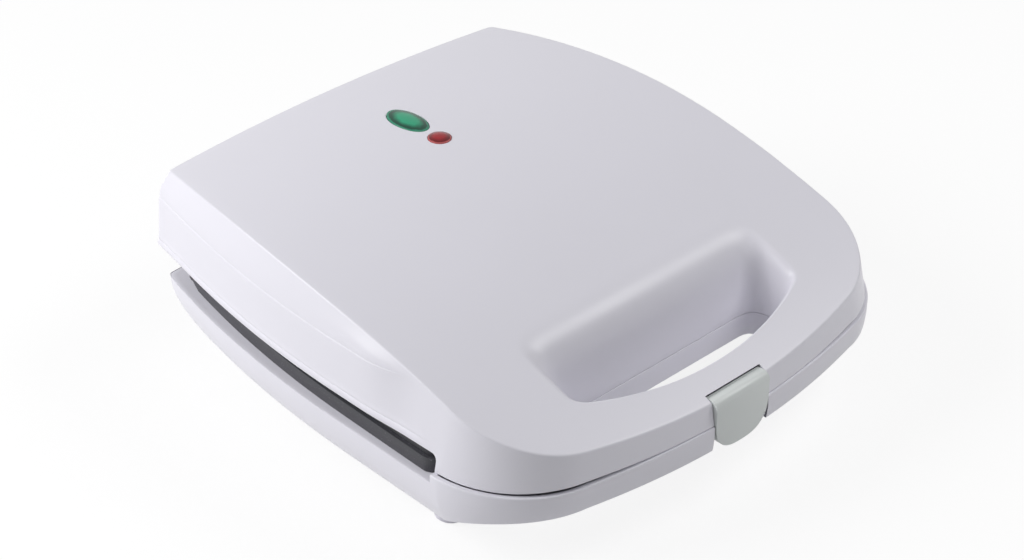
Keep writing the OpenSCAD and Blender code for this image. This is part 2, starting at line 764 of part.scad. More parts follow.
module upper_plate() {
    color("dimgray") at_plate(true) difference() {
        plate(skirt_side - wall - plate_clear);
        thermostat_rivet_places() rivet_hole();
    }
}

module lower_plate_screws() { color("silver") at_plate(false) plate_screws(); }
module upper_plate_screws() { color("silver") at_plate(true) plate_screws(); }

// ---- Elements --------------------------------------------------------------------------------

// Quarter of the tube's bend, s choosing the side
module tube_bend(s) {
    translate([s * (leg_x - tube_bend_r), -tube_front + tube_bend_r, -tube_off]) mirror([s < 0 ? 1 : 0, 0, 0])
        rotate([0, 0, -90]) rotate_extrude(angle = 90) translate([tube_bend_r, 0]) circle(d = tube_d);
}

module element() {
    for (s = [-1, 1]) {
        rod_y(s * leg_x, -tube_off, -tube_front + tube_bend_r, -riser_at, tube_d);
        tube_bend(s);
        translate([s * leg_x, -riser_at, -tube_off]) sphere(d = tube_d);
        translate([s * leg_x, -riser_at, -reflector_off]) cylinder(d = tube_d, h = reflector_off - tube_off);
        translate([s * leg_x, -riser_at, -reflector_off - pin_out]) cylinder(d = pin_d, h = pin_out + past);
    }
    rod_x(-leg_x + tube_bend_r, leg_x - tube_bend_r, -tube_front, -tube_off, tube_d);
}

module element_beads() {
    for (s = [-1, 1]) translate([s * leg_x, -riser_at, 0]) difference() {
        translate([0, 0, -reflector_off - bead_l]) cylinder(d = bead_d, h = bead_l - sheet_t);
        translate([0, 0, -reflector_off - pin_out]) cylinder(d = pin_d + 2 * fit, h = pin_out);
    }
}

// Strap over the tube, seated on the plate's back
module straps() {
    for (p = strap_places) translate([p[0], p[1], 0]) difference() {
        union() {
            block(-strap_half - rivet_d, strap_half + rivet_d, -strap_w / 2, strap_w / 2,
                -pocket_back - strap_t, -pocket_back);
            rod_y(0, -tube_off, -strap_w / 2, strap_w / 2, tube_d + 2 * fit + 2 * strap_t);
        }
        rod_y(0, -tube_off, -strap_w, strap_w, tube_d + 2 * fit);
        block(-tube_d / 2 - fit, tube_d / 2 + fit, -strap_w, strap_w, -tube_off, 0);
        block(-strap_half - tube_d, strap_half + tube_d, -strap_w, strap_w, -pocket_back, 0);
        for (s = [-1, 1])
            translate([s * strap_half, 0, -tube_off]) cylinder(d = rivet_d + 2 * fit, h = tube_off);
    }
}

module rivet_places() {
    for (p = strap_places, s = [-1, 1]) translate([p[0] + s * strap_half, p[1], 0]) children();
}

module rivet_hole() {
    translate([0, 0, -pocket_back - eps]) cylinder(d = rivet_d + 2 * fit, h = rivet_l + fit);
}

module rivets() {
    translate([0, 0, -pocket_back - strap_t]) cylinder(d = rivet_d, h = strap_t + rivet_l - fit);
    translate([0, 0, -pocket_back - strap_t - rivet_head_h]) cylinder(d = 2 * rivet_d, h = rivet_head_h);
}

// Tray over the element that throws the heat back, standing on the plate's rim
module reflector() {
    difference() {
        field_block(plate_t + reflector_clear + sheet_t, -reflector_off - sheet_t, -plate_t);
        field_block(plate_t + reflector_clear, -reflector_off, 0);
        for (s = [-1, 1]) reflector_hole(s * leg_x, -riser_at, tube_d + 2 * fit);
    }
}

module reflector_hole(x, y, d) {
    translate([x, y, -reflector_off - sheet_t - past]) cylinder(d = d, h = sheet_t + 2 * past);
}

module lower_element() { color("slategray") at_plate(false) element(); }
module upper_element() { color("slategray") at_plate(true) element(); }
module lower_element_beads() { color("ivory") at_plate(false) element_beads(); }
module upper_element_beads() { color("ivory") at_plate(true) element_beads(); }
module lower_straps() { color("lightgray") at_plate(false) straps(); }
module upper_straps() { color("lightgray") at_plate(true) straps(); }
module lower_strap_rivets() { color("silver") at_plate(false) rivet_places() rivets(); }
module upper_strap_rivets() { color("silver") at_plate(true) rivet_places() rivets(); }
module lower_reflector() { color("gainsboro") at_plate(false) reflector(); }

// The thermostat's tabs reach through the upper tray
module upper_reflector() {
    color("gainsboro") at_plate(true) difference() {
        reflector();
        reflector_hole(0, field_mid, thermostat_hole_d);
    }
}

// ---- Controls on the upper plate -------------------------------------------------------------

module thermostat_rivet_places() {
    for (s = [-1, 1]) translate([s * thermostat_rivet_x, field_mid, 0]) children();
}

// Disc thermostat, held by its lugs against the plate's back
module thermostat() {
    low = -pocket_back - thermostat_h;
    color("saddlebrown") at_plate(true) difference() {
        translate([0, field_mid, 0]) {
            translate([0, 0, low]) cylinder(d = thermostat_d, h = thermostat_h);
            block(-thermostat_lug, thermostat_lug, -thermostat_lug_w / 2, thermostat_lug_w / 2,
                -pocket_back - strap_t, -pocket_back);
            for (s = [-1, 1]) block(s * tab_x - tab_t / 2, s * tab_x + tab_t / 2, -tab_w / 2, tab_w / 2,
                low - tab_h, low + past);
        }
        thermostat_rivet_places() translate([0, 0, low]) cylinder(d = rivet_d + 2 * fit, h = whole);
    }
}

module thermostat_rivets() { color("silver") at_plate(true) thermostat_rivet_places() rivets(); }

module thermal_fuse() {
    color("tan") at_plate(true) {
        rod_x(fuse_x - fuse_l / 2, fuse_x + fuse_l / 2, fuse_y, -fuse_off, fuse_d);
        rod_x(fuse_x - fuse_l, fuse_x + fuse_l, fuse_y, -fuse_off, fuse_lead_d);
    }
}

// ---- Lamps -----------------------------------------------------------------------------------

function oval_ring(length, width, n) = [for (i = [0:n - 1]) let (a = -360 * i / n)
    [width / 2 * cos(a), length / 2 * sin(a)]];

module oval(length, width) {
    polygon(oval_ring(length, width, lens_n));
}

// Domed lens that snaps up into its window, with a flange under the lid's top
module lens(length, width, at) {
    top = dome_z(0, -at) + lens_edge;
    seat = dome_z(0, -at) - wall - lens_seat;
    function ring(d, z) = at_z(oval_ring(length + 2 * d, width + 2 * d, lens_n), z);
    translate([0, seat_y - at, 0]) loft(concat(
        [ring(lens_flange, seat - lens_flange), ring(lens_flange, seat), ring(0, seat + eps)],
        [for (a = [0:30:90]) ring(-lens_round * (1 - cos(a)), top + lens_rise * sin(a))]));
}

module green_lens() { color("seagreen") lens(green_l, green_w, green_at); }
module red_lens() { color("crimson") lens(red_d, red_d, red_at); }

module lamp_holder() {
    seat_x = neon_l / 2 + loose;
    seat_half = neon_d / 2 + fit;
    end = holder_post_d / 2;
    color("ivory") translate([0, seat_y, 0]) difference() {
        block(-holder_w / 2, holder_w / 2, holder_ends[1] - end, holder_ends[0] + end,
            holder_z, holder_z + holder_t);
        for (y = [-green_at, -red_at])
            block(-seat_x, seat_x, y - seat_half, y + seat_half, holder_z + holder_floor, whole);
        at_holder_ends(0) cylinder(d = small_screw_d + 2 * fit, h = whole);
    }
}

module lamp_holder_screws() {
    color("silver") translate([0, seat_y, 0]) {
        at_holder_ends(holder_z) cylinder(d = small_screw_d, h = small_screw_l);
        at_holder_ends(holder_z - small_head_h) cylinder(d = 2 * small_screw_d, h = small_head_h);
    }
}

module neon_lamps() {
    color("orange") translate([0, seat_y, 0]) for (y = [-green_at, -red_at])
        rod_x(-neon_l / 2, neon_l / 2, y, holder_z + holder_floor + neon_d / 2 + fit, neon_d);
}

// ---- Latch -----------------------------------------------------------------------------------

// Side profile of the latch, seen along X with its pin on the origin
module latch_profile() {
    front = latch_front_y - latch_pin_y;
    back = front + latch_t;
    lip = front + latch_lip;
    top = latch_top_z - latch_pin_z;
    bend = latch_bend_r;
    c = latch_chamfer;
    hook_z = ledge_z - hook_gap - latch_pin_z;
    polygon(concat(
        [[lip, top - lip_t], [lip, top - c], [lip - c, top]],
        [for (a = [90:22.5:180]) [front + bend, top - bend] + bend * turn(a)],
        [[front, c - latch_drop], [front + c, -latch_drop], [back - c, -latch_drop], [back, c - latch_drop]],
        [[back + hook_l, hook_z - hook_h + hook_l / 2], [back + hook_l, hook_z], [back, hook_z]],
        [[back, -hub_r], [hub_r / 2, -hub_r], [hub_r, 0], [hub_r, top - lip_t]]));
}

// Front outline of the latch: straight sides, then a half moon
module latch_face() {
    w = latch_w / 2;
    polygon(concat([[-w, whole / 2], [w, whole / 2]],
        [for (a = [0:-15:-180]) [w * cos(a), -latch_side_h + (latch_drop - latch_side_h) * sin(a)]]));
}

module latch() {
    color("silver") translate([0, seat_y + latch_pin_y, latch_pin_z]) difference() {
        intersection() {
            along_x(latch_w) latch_profile();
            rotate([90, 0, 0]) linear_extrude(whole, center = true) latch_face();
        }
        rod_x(-latch_w, latch_w, 0, 0, latch_pin_d + 2 * pin_play);
    }
}

module latch_pin() {
    color("gray") translate([0, seat_y, 0])
        rod_x(-latch_pin_half + fit, latch_pin_half - fit, latch_pin_y, latch_pin_z, latch_pin_d);
}

// ---- Hinge -----------------------------------------------------------------------------------

module hinge_pins() {
    color("gray") translate([0, seat_y, 0]) for (s = [-1, 1])
        rod_x(s * hinge_x - pin_half, s * hinge_x + pin_half, hinge_y, hinge_z, hinge_pin_d);
}

module hinge_clips() {
    color("dimgray") translate([0, seat_y, 0]) for (s = [-1, 1], t = [-1, 1]) difference() {
        clip(s * hinge_x + t * clip_at);
        rod_x(-whole / 2, whole / 2, hinge_y, hinge_z, hinge_pin_d);
    }
}

module clip(x) {
    rod_x(x - clip_t / 2, x + clip_t / 2, hinge_y, hinge_z, clip_d);
}

module wire_sleeve() {
    color("black") translate([0, seat_y, 0]) difference() {
        rod_x(-sleeve_half, sleeve_half, hinge_y, hinge_z, sleeve_d - 2 * pin_play);
        rod_x(-whole / 2, whole / 2, hinge_y, hinge_z, sleeve_d - 2 * sleeve_t);
    }
}

// ---- Base fittings ---------------------------------------------------------------------------

module at_terminals(z) {
    for (i = [-1:1]) translate([block_x + i * block_pitch, block_y, z]) children();
}

module terminal_block() {
    mid_z = floor_z + block_h / 2;
    color("ivory") translate([0, seat_y, 0]) difference() {
        block(block_x - block_w / 2, block_x + block_w / 2, block_y - block_d / 2, block_y + block_d / 2,
            floor_z, floor_z + block_h);
        at_terminals(mid_z) rod_y(0, 0, -block_d, block_d, wire_d + 2 * loose);
        at_terminals(mid_z) cylinder(d = small_screw_d + 2 * fit, h = block_h);
    }
}

module terminal_screws() {
    low = block_h / 2 + wire_d / 2 + loose;
    color("goldenrod") translate([0, seat_y, 0])
        at_terminals(floor_z + low) cylinder(d = small_screw_d, h = block_h - low);
}

// Bush that leads the cord through the base's rear, with a collar inside
module cord_bush() {
    collar_y = bush_in_y - bush_collar_t;
    color("dimgray") translate([0, seat_y, 0]) difference() {
        union() {
            bush_slot(0, bush_in_y, bush_out_y, flange_z - fit);
            bush_slot(bush_collar, collar_y, bush_in_y, flange_z - flange_t - fit);
        }
        rod_y(inlet_x, inlet_z, collar_y - past, bush_out_y + past, inlet_d);
    }
}

// Earth tag, flat under the lower reflector beside the element's ends
module earth_tag() {
    color("goldenrod") at_plate(false) translate([0, -riser_at, -reflector_off - 2 * sheet_t])
        block(-tag_w / 2, tag_w / 2, -tag_l / 2, tag_l / 2, 0, sheet_t);
}

// Smooth curve through the points
function between(a, b, c, d, t) = b + t / 2 * (c - a) + t * t * (a - 2.5 * b + 2 * c - d / 2)
    + pow(t, 3) / 2 * (3 * b - 3 * c + d - a);
function smooth(p) = concat(
    [for (i = [0:len(p) - 2], k = [0:wire_steps - 1])
        between(p[max(i - 1, 0)], p[i], p[i + 1], p[min(i + 2, len(p) - 1)], k / wire_steps)],
    [p[len(p) - 1]]);
function unit(v) = v / norm(v);

// Wire along a smooth curve through the points
module wire(points) {
    path = smooth(points);
    last = len(path) - 1;
    loft([for (i = [0:last]) let (
            along = unit(path[min(i + 1, last)] - path[max(i - 1, 0)]),
            u = unit(cross(along, [1, 1, 1])), v = cross(along, u))
        [for (k = [0:wire_n - 1]) let (a = -360 * k / wire_n)
            path[i] + wire_d / 2 * (cos(a) * u + sin(a) * v)]]);
}

// Two wires from the terminal block to the element's ends, the right one round the block, and one
// that runs to the lid's sleeve
module base_wiring() {
    tip_z = plate_low_z - reflector_off - pin_out - wire_d / 2;
    end_y = block_y - block_d / 2 - wire_d / 2 - fit;
    mid_z = floor_z + block_h / 2;
    turn_y = end_y - 6;
    lid_turn_y = end_y - 12;
    climb_y = wire_hole_y - 14;
    over_z = mid_z + 2 * wire_d;
    left_x = block_x - block_pitch;
    right_x = block_x + block_pitch;
    round_x = block_x + block_w / 2 + 2 * wire_d;
    color("firebrick") translate([0, seat_y, 0]) {
        wire([[left_x, end_y, mid_z], [left_x, turn_y, mid_z], [-leg_x, turn_y, mid_z],
            [-leg_x, -riser_at, tip_z]]);
        wire([[right_x, end_y, mid_z], [right_x, turn_y, mid_z], [round_x, turn_y, mid_z],
            [round_x, block_y + block_d / 2, mid_z], [leg_x, -riser_at, tip_z]]);
        wire([[block_x, end_y, mid_z], [block_x, lid_turn_y, over_z], [-wire_hole_x, lid_turn_y, over_z],
            [-wire_hole_x, climb_y, over_z], [-wire_hole_x, wire_hole_y, flange_z - 2 * flange_t],
            [-wire_hole_x, wire_hole_y, flange_z], [-wire_hole_x, hinge_y, hinge_z],
            [-sleeve_half - wire_d / 2, hinge_y, hinge_z]]);
    }
}

// From the sleeve to a crimp, and on to the thermostat, the element's right end and the lamps. The
// fuse lies between the thermostat and the element's left end.
module lid_wiring() {
    tip_z = plate_up_z + reflector_off + pin_out + wire_d / 2;
    tab_z = plate_up_z + pocket_back + thermostat_h + tab_h + wire_d / 2;
    high_z = plate_up_z + reflector_off + sheet_t + wire_d;
    fuse_z = plate_up_z + fuse_off;
    fuse_end = fuse_l + wire_d / 2;
    crimp_y = -plate_rear - knuckle_r;
    lamp_y = -(green_at + red_at) / 2;
    level_y = -riser_at + 2 * pin_d;
    color("firebrick") translate([0, seat_y, 0]) {
        translate([wire_hole_x, crimp_y, high_z]) cube([5 * wire_d, crimp_l, 1.5 * wire_d], center = true);
        wire([[sleeve_half + wire_d / 2, hinge_y, hinge_z], [wire_hole_x, hinge_y, hinge_z],
            [wire_hole_x, hinge_y, web_top_z], [wire_hole_x, crimp_y + 1, high_z]]);
        wire([[wire_hole_x, crimp_y - 1, high_z], [wire_hole_x, -riser_at, high_z],
            [tab_x, field_mid, tab_z]]);
        wire([[wire_hole_x + 1.5 * wire_d, crimp_y, high_z], [leg_x, crimp_y - crimp_l, high_z],
            [leg_x, level_y, tip_z], [leg_x, -riser_at, tip_z]]);
        wire([[wire_hole_x - 1.5 * wire_d, crimp_y, high_z], [wire_hole_x - 1.5 * wire_d, -riser_at, high_z],
            [0, lamp_y, holder_z - wire_d / 2 - fit]]);
        wire([[-tab_x, field_mid, tab_z], [fuse_x + fuse_end, -riser_at, high_z],
            [fuse_x + fuse_end, fuse_y, fuse_z]]);
        wire([[fuse_x - fuse_end, fuse_y, fuse_z], [-leg_x, level_y, tip_z], [-leg_x, -riser_at, tip_z]]);
    }
}

module foot() {
    r = foot_d / 2;
    top_z = floor_z + stem_boss_h;
    rotate_extrude() polygon(concat(
        [[0, top_z], [0, 0], [r - foot_round, 0]],
        [for (a = [-60, -30, 0]) [r - foot_round, foot_round] + foot_round * turn(a)],
        [[r, foot_h], [stem_d / 2 - fit, foot_h], [stem_d / 2 - fit, top_z]]));
}

module foot_pair(x, at) {
    color("lightgray") for (s = [-1, 1]) translate([s * x, seat_y - at, 0]) foot();
}

module front_feet() { foot_pair(foot_front_x, foot_front_at); }
module rear_feet() { foot_pair(foot_rear_x, foot_rear_at); }

base_cover();
lid_cover();
lower_plate();
upper_plate();
lower_plate_screws();
upper_plate_screws();
lower_element();
upper_element();
lower_element_beads();
upper_element_beads();
lower_straps();
upper_straps();
lower_strap_rivets();
upper_strap_rivets();
lower_reflector();
upper_reflector();
thermostat();
thermostat_rivets();
thermal_fuse();
lamp_holder();
lamp_holder_screws();
neon_lamps();
green_lens();
red_lens();
latch();
latch_pin();
hinge_pins();
hinge_clips();
wire_sleeve();
cord_bush();
terminal_block();
terminal_screws();
earth_tag();
base_wiring();
lid_wiring();
front_feet();
rear_feet();
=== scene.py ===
import json
import math
import bmesh
import bpy
import numpy as np
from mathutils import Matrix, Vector


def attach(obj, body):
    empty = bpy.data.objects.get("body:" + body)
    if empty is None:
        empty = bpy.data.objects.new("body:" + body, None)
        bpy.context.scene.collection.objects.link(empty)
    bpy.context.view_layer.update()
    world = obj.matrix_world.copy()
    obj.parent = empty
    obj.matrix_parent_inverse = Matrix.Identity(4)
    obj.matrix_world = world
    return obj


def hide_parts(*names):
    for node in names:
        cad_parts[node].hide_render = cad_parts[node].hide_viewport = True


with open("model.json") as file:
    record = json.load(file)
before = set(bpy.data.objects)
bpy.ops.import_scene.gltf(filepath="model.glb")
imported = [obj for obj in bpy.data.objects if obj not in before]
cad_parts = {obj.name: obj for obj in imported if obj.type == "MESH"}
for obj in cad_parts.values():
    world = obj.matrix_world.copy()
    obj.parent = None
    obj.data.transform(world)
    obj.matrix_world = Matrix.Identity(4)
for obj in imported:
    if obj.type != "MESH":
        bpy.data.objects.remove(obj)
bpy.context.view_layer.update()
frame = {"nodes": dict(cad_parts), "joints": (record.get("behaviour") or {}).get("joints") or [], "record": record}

# Sandwich toaster. Lengths are millimetres, and plan positions are laid out from the middle of the
# lid's rear edge, as in the part's source: X to the right, Y to the rear, Z up from the worktop.
# place() turns them into the frame's metres.

NODES = frame["nodes"]
JOINTS = {j["name"]: j for j in frame["joints"]}
HINGE_IN = 1
SEAT_Y = JOINTS["lid_hinge"]["pos_m"][1] * 1000 + HINGE_IN
MM = 0.001

# ---- Sizes of the casing --------------------------------------------------------------------------

TOP_W = 248
REAR_W = 212
TOP_L = 274.5
WIDEST_L = 150
REAR_BOW = 4.5
FRONT_R = 380
CORNER_R = 48
REAR_CORNER_R = 3
REAR_FADE = 12               # length over which the sides lose the push back of the rear
BOTTOM_Z = 10
FLANGE_Z = 40.5
PART_Z = 45
SLOT_TOP_Z = 53
GROOVE_Z = 81.5
PEAK_Z = 99.8
PEAK_L = 72
ARCH_R = 473.5
CROWN = 3
WALL = 2.4
SLOT_L = 214
SLOT_CORNER_R = 3
TURN_FROM = -SLOT_L + 3.5    # from here to TURN_TO the casing's columns follow the slot's front corner
TURN_TO = -SLOT_L - 1.5
# How far the rims stand out past the crease: at the rear, beside the slot's front end, at the front
LID_RIM = (6.0, 6.3, 2.0)
SHOULDER_RIM = (4.3, 4.6, 1.1)
BASE_RIM = (7.0, 8.9, 2.5)
BASE_SHORT = 3
BASE_EDGE = (*BASE_RIM, -BASE_SHORT)
BOWL_DRAW = 19

SIDE_DROP = (TOP_W - REAR_W) / 2
SIDE_R = (WIDEST_L ** 2 + SIDE_DROP ** 2) / (2 * SIDE_DROP)
SIDE_A = math.asin(WIDEST_L / SIDE_R)
REAR_R = ((REAR_W / 2) ** 2 + REAR_BOW ** 2) / (2 * REAR_BOW)
REAR_A = math.acos(REAR_W / 2 / REAR_R)
FRONT_C = FRONT_R - TOP_L
CORNER_X = TOP_W / 2 - CORNER_R
CORNER_Y = FRONT_C - math.sqrt((FRONT_R - CORNER_R) ** 2 - CORNER_X ** 2)
FRONT_A = math.atan2(FRONT_C - CORNER_Y, CORNER_X)


def dome(x, y):
    """Height of the lid's top face over a point of the plan."""
    return (PEAK_Z - (y + PEAK_L) ** 2 / (2 * ARCH_R)
            + CROWN * (1 - (2 * x / TOP_W) ** 2) * (1 - (y / TOP_L) ** 2))


def smoothstep(a, b, x):
    t = np.clip((x - a) / (b - a), 0, 1)
    return t * t * (3 - 2 * t)


def mix(a, b, t):
    return a + (b - a) * t


# ---- Meshes ---------------------------------------------------------------------------------------

def place(points):
    """Layout millimetres to the frame's metres."""
    points = np.asarray(points, float)
    return (points + (0, SEAT_Y, 0)) * MM


def link(name, data):
    """A new object in the scene."""
    obj = bpy.data.objects.new(name, data)
    bpy.context.scene.collection.objects.link(obj)
    return obj


def mesh_object(name, points, faces, sharp_deg=35):
    """A smooth-shaded object from layout points, with edges sharper than sharp_deg kept crisp."""
    mesh = bpy.data.meshes.new(name)
    mesh.from_pydata(place(points).tolist(), [], [tuple(int(i) for i in f) for f in faces])
    mesh.update()
    return shade(link(name, mesh), sharp_deg)


def grid_faces(rows, columns, close_rows=False, close_columns=False, start=0, flip=False):
    """Quads of a grid of points, stored row by row."""
    faces = []
    for r in range(rows if close_rows else rows - 1):
        for c in range(columns if close_columns else columns - 1):
            a, b = r * columns + c, r * columns + (c + 1) % columns
            d, e = (r + 1) % rows * columns + c, (r + 1) % rows * columns + (c + 1) % columns
            quad = (a, b, e, d)
            faces.append(tuple(start + i for i in (quad[::-1] if flip else quad)))
    return faces


def join(objects):
    """Joins objects into the first one."""
    bpy.ops.object.select_all(action="DESELECT")
    for o in objects:
        o.select_set(True)
    bpy.context.view_layer.objects.active = objects[0]
    bpy.ops.object.join()
    return objects[0]


def shade(obj, sharp_deg):
    """Smooth shading, with edges sharper than sharp_deg kept crisp."""
    obj.data.shade_smooth()
    obj.data.set_sharp_from_angle(angle=math.radians(sharp_deg))
    return obj


def apply_modifiers(obj):
    graph = bpy.context.evaluated_depsgraph_get()
    mesh = bpy.data.meshes.new_from_object(obj.evaluated_get(graph))
    obj.modifiers.clear()
    obj.data = mesh
    return obj


def cut(obj, tool, sharp_deg=35, operation="DIFFERENCE"):
    """Cuts the tool out of the object, or keeps what both share, and removes the tool."""
    mod = obj.modifiers.new("cut", "BOOLEAN")
    mod.operation = operation
    mod.solver = "EXACT"
    mod.object = tool
    apply_modifiers(obj)
    bpy.data.objects.remove(tool)
    return shade(obj, sharp_deg)


def outward(obj):
    """Points the faces of a closed object outwards."""
    bm = bmesh.new()
    bm.from_mesh(obj.data)
    bmesh.ops.remove_doubles(bm, verts=bm.verts, dist=1e-7)
    bmesh.ops.recalc_face_normals(bm, faces=bm.faces)
    bm.to_mesh(obj.data)
    bm.free()
    return obj


def box(name, x0, x1, y0, y1, z0, z1):
    points = [(x, y, z) for z in (z0, z1) for y in (y0, y1) for x in (x0, x1)]
    faces = [(0, 2, 3, 1), (4, 5, 7, 6), (0, 1, 5, 4), (2, 6, 7, 3), (0, 4, 6, 2), (1, 3, 7, 5)]
    return mesh_object(name, points, faces)


def prism(name, low, high, sharp_deg=35):
    """A closed solid between two outlines of equally many points."""
    n = len(low)
    faces = [tuple(range(n)), tuple(range(n, 2 * n))]
    faces += [(i, (i + 1) % n, n + (i + 1) % n, n + i) for i in range(n)]
    return outward(mesh_object(name, list(low) + list(high), faces, sharp_deg))


def prism_x(name, profile, x0, x1):
    """A closed (y, z) profile drawn out along X."""
    return prism(name, [(x0, y, z) for y, z in profile], [(x1, y, z) for y, z in profile])


def prism_y(name, profile, y0, y1):
    """A closed (x, z) profile drawn out along Y."""
    return prism(name, [(x, y0, z) for x, z in profile], [(x, y1, z) for x, z in profile])


def prism_z(name, plan, z0, z1):
    """A closed (x, y) outline drawn up along Z."""
    return prism(name, [(x, y, z0) for x, y in plan], [(x, y, z1) for x, y in plan])


def whole(half, middle_shared=False):
    """A right half outline and its mirror image, with a first point on the middle line taken once."""
    return half + [(-x, b) for x, b in (half[:0:-1] if middle_shared else half[::-1])]


def arc(cx, cy, r, a0, a1, n=12):
    """Points of an arc, its angles in degrees."""
    return [(cx + r * math.cos(a), cy + r * math.sin(a)) for a in np.radians(np.linspace(a0, a1, n))]


def tube_z(name, x, y, outer_r, bore_r, z0, z1, n=40):
    """An upright tube with softened ends."""
    soft = 0.3
    profile = [(bore_r, z0 + soft), (bore_r + soft, z0), (outer_r - soft, z0), (outer_r, z0 + soft),
               (outer_r, z1 - soft), (outer_r - soft, z1), (bore_r + soft, z1), (bore_r, z1 - soft)]
    points = [(x + r * math.cos(a), y + r * math.sin(a), z) for r, z in profile
              for a in np.linspace(0, 2 * math.pi, n, endpoint=False)]
    return outward(mesh_object(name, points, grid_faces(len(profile), n, True, True)))


def bevel(obj, width, segments=3, angle_deg=30, sharp_deg=35):
    mod = obj.modifiers.new("soften", "BEVEL")
    mod.width = width * MM
    mod.segments = segments
    mod.limit_method = "ANGLE"
    mod.angle_limit = math.radians(angle_deg)
    apply_modifiers(obj)
    return shade(obj, sharp_deg)


# ---- Plan outline of the casing -------------------------------------------------------------------

def outline_table():
    """The right half of the crease, from the rear middle round to the front middle. Each row holds the
    point, how it moves as the rim stands out at the rear, beside the slot's front end and at the front,
    and how it moves as the rear is pushed back."""
    rows = []
    for x in np.linspace(0, REAR_W / 2 - REAR_CORNER_R, 120, endpoint=False):
        y = REAR_BOW - REAR_R + math.sqrt(REAR_R ** 2 - x ** 2)
        rows.append((x, y, 2 * x / REAR_W, 0, 0, 0, 0, 0, 0, 1))
    middle = (SIDE_A + REAR_A) / 2
    reach = REAR_CORNER_R / math.cos((REAR_A - SIDE_A) / 2)
    for a in np.linspace(REAR_A, SIDE_A, 20, endpoint=False):
        x = REAR_W / 2 - reach * math.cos(middle) + REAR_CORNER_R * math.cos(a)
        y = -reach * math.sin(middle) + REAR_CORNER_R * math.sin(a)
        rows.append((x, y, 1, 0, 0, 0, 0, 0, 0, 1))
    corner_end = rows[-1][1]
    for a in np.linspace(SIDE_A, 0, 400, endpoint=False):
        x, y = TOP_W / 2 - SIDE_R + SIDE_R * math.cos(a), -WIDEST_L + SIDE_R * math.sin(a)
        if y < corner_end - REAR_CORNER_R / 10:
            w = y / CORNER_Y
            rows.append((x, y, 1 - w, 0, w, 0, 0, 0, 0, math.exp(y / REAR_FADE)))
    for y in np.linspace(-WIDEST_L, CORNER_Y, 150, endpoint=False):
        w = y / CORNER_Y
        rows.append((TOP_W / 2, y, 1 - w, 0, w, 0, 0, 0, 0, 0))
    for t in np.linspace(0, 1, 160, endpoint=False):
        c, s = math.cos(-FRONT_A * t), math.sin(-FRONT_A * t)
        x, y = CORNER_X + CORNER_R * c, CORNER_Y + CORNER_R * s
        rows.append((x, y, 0, 0, (1 - t) * c, (1 - t) * s, t * c, t * s, 0, 0))
    for a in np.linspace(-FRONT_A, -math.pi / 2, 100):
        c, s = math.cos(a), math.sin(a)
        rows.append((FRONT_R * c, FRONT_C + FRONT_R * s, 0, 0, 0, 0, c, s, 0, 0))
    return np.array(rows)


TABLE = outline_table()
ALONG = np.concatenate([[0], np.cumsum(np.hypot(*np.diff(TABLE[:, :2], axis=0).T))])
HALF_L = ALONG[-1]
SIDE_FIRST = int(np.argmax(TABLE[:, 0] > REAR_W / 2 - 1))


def along_at_y(y):
    """Distance along the outline at which the crease's side passes a place from front to rear."""
    return np.interp(-np.asarray(y, float), -TABLE[SIDE_FIRST:, 1], ALONG[SIDE_FIRST:])


def column_places():
    """Where the casing's columns stand along the outline, closer together where it bends or steps."""
    rear_end = REAR_W / 2 - REAR_CORNER_R
    stops = [(0, 20), (rear_end, 8), (rear_end + 5, 34), (along_at_y(-SLOT_L + 9), 5),
             (along_at_y(TURN_FROM), 14), (along_at_y(TURN_TO), 4),
             (along_at_y(-SLOT_L - 5), 26), (HALF_L - 80, 22)]
    ends = [p for p, n in stops[1:]] + [HALF_L]
    parts = [np.linspace(p, e, n, endpoint=False) for (p, n), e in zip(stops, ends)]
    return np.concatenate(parts + [[HALF_L]])


COLUMNS = column_places()
TURN_FIRST, TURN_LAST = (int(np.argmin(abs(COLUMNS - along_at_y(y)))) for y in (TURN_FROM, TURN_TO))


def whole_ring(half):
    """Mirrors a half ring of points into the whole, starting at the rear middle."""
    mirrored = half[-2:0:-1] * np.array([-1, 1, 1])
    return np.concatenate([half, mirrored])


def closed_skin(name, half_rings, sharp_deg=35):
    """A closed skin through half rings that follow one another and meet again at the end."""
    rings = [whole_ring(r) for r in half_rings]
    return outward(mesh_object(name, np.concatenate(rings),
                               grid_faces(len(rings), len(rings[0]), True, True), sharp_deg))


# ---- Finger opening -------------------------------------------------------------------------------

GRIP_HALF_W = 65
GRIP_REAR = 225
GRIP_FRONT = 258.5
GRIP_BOW = 16
GRIP_R = 8
GRIP_POINTS = 800


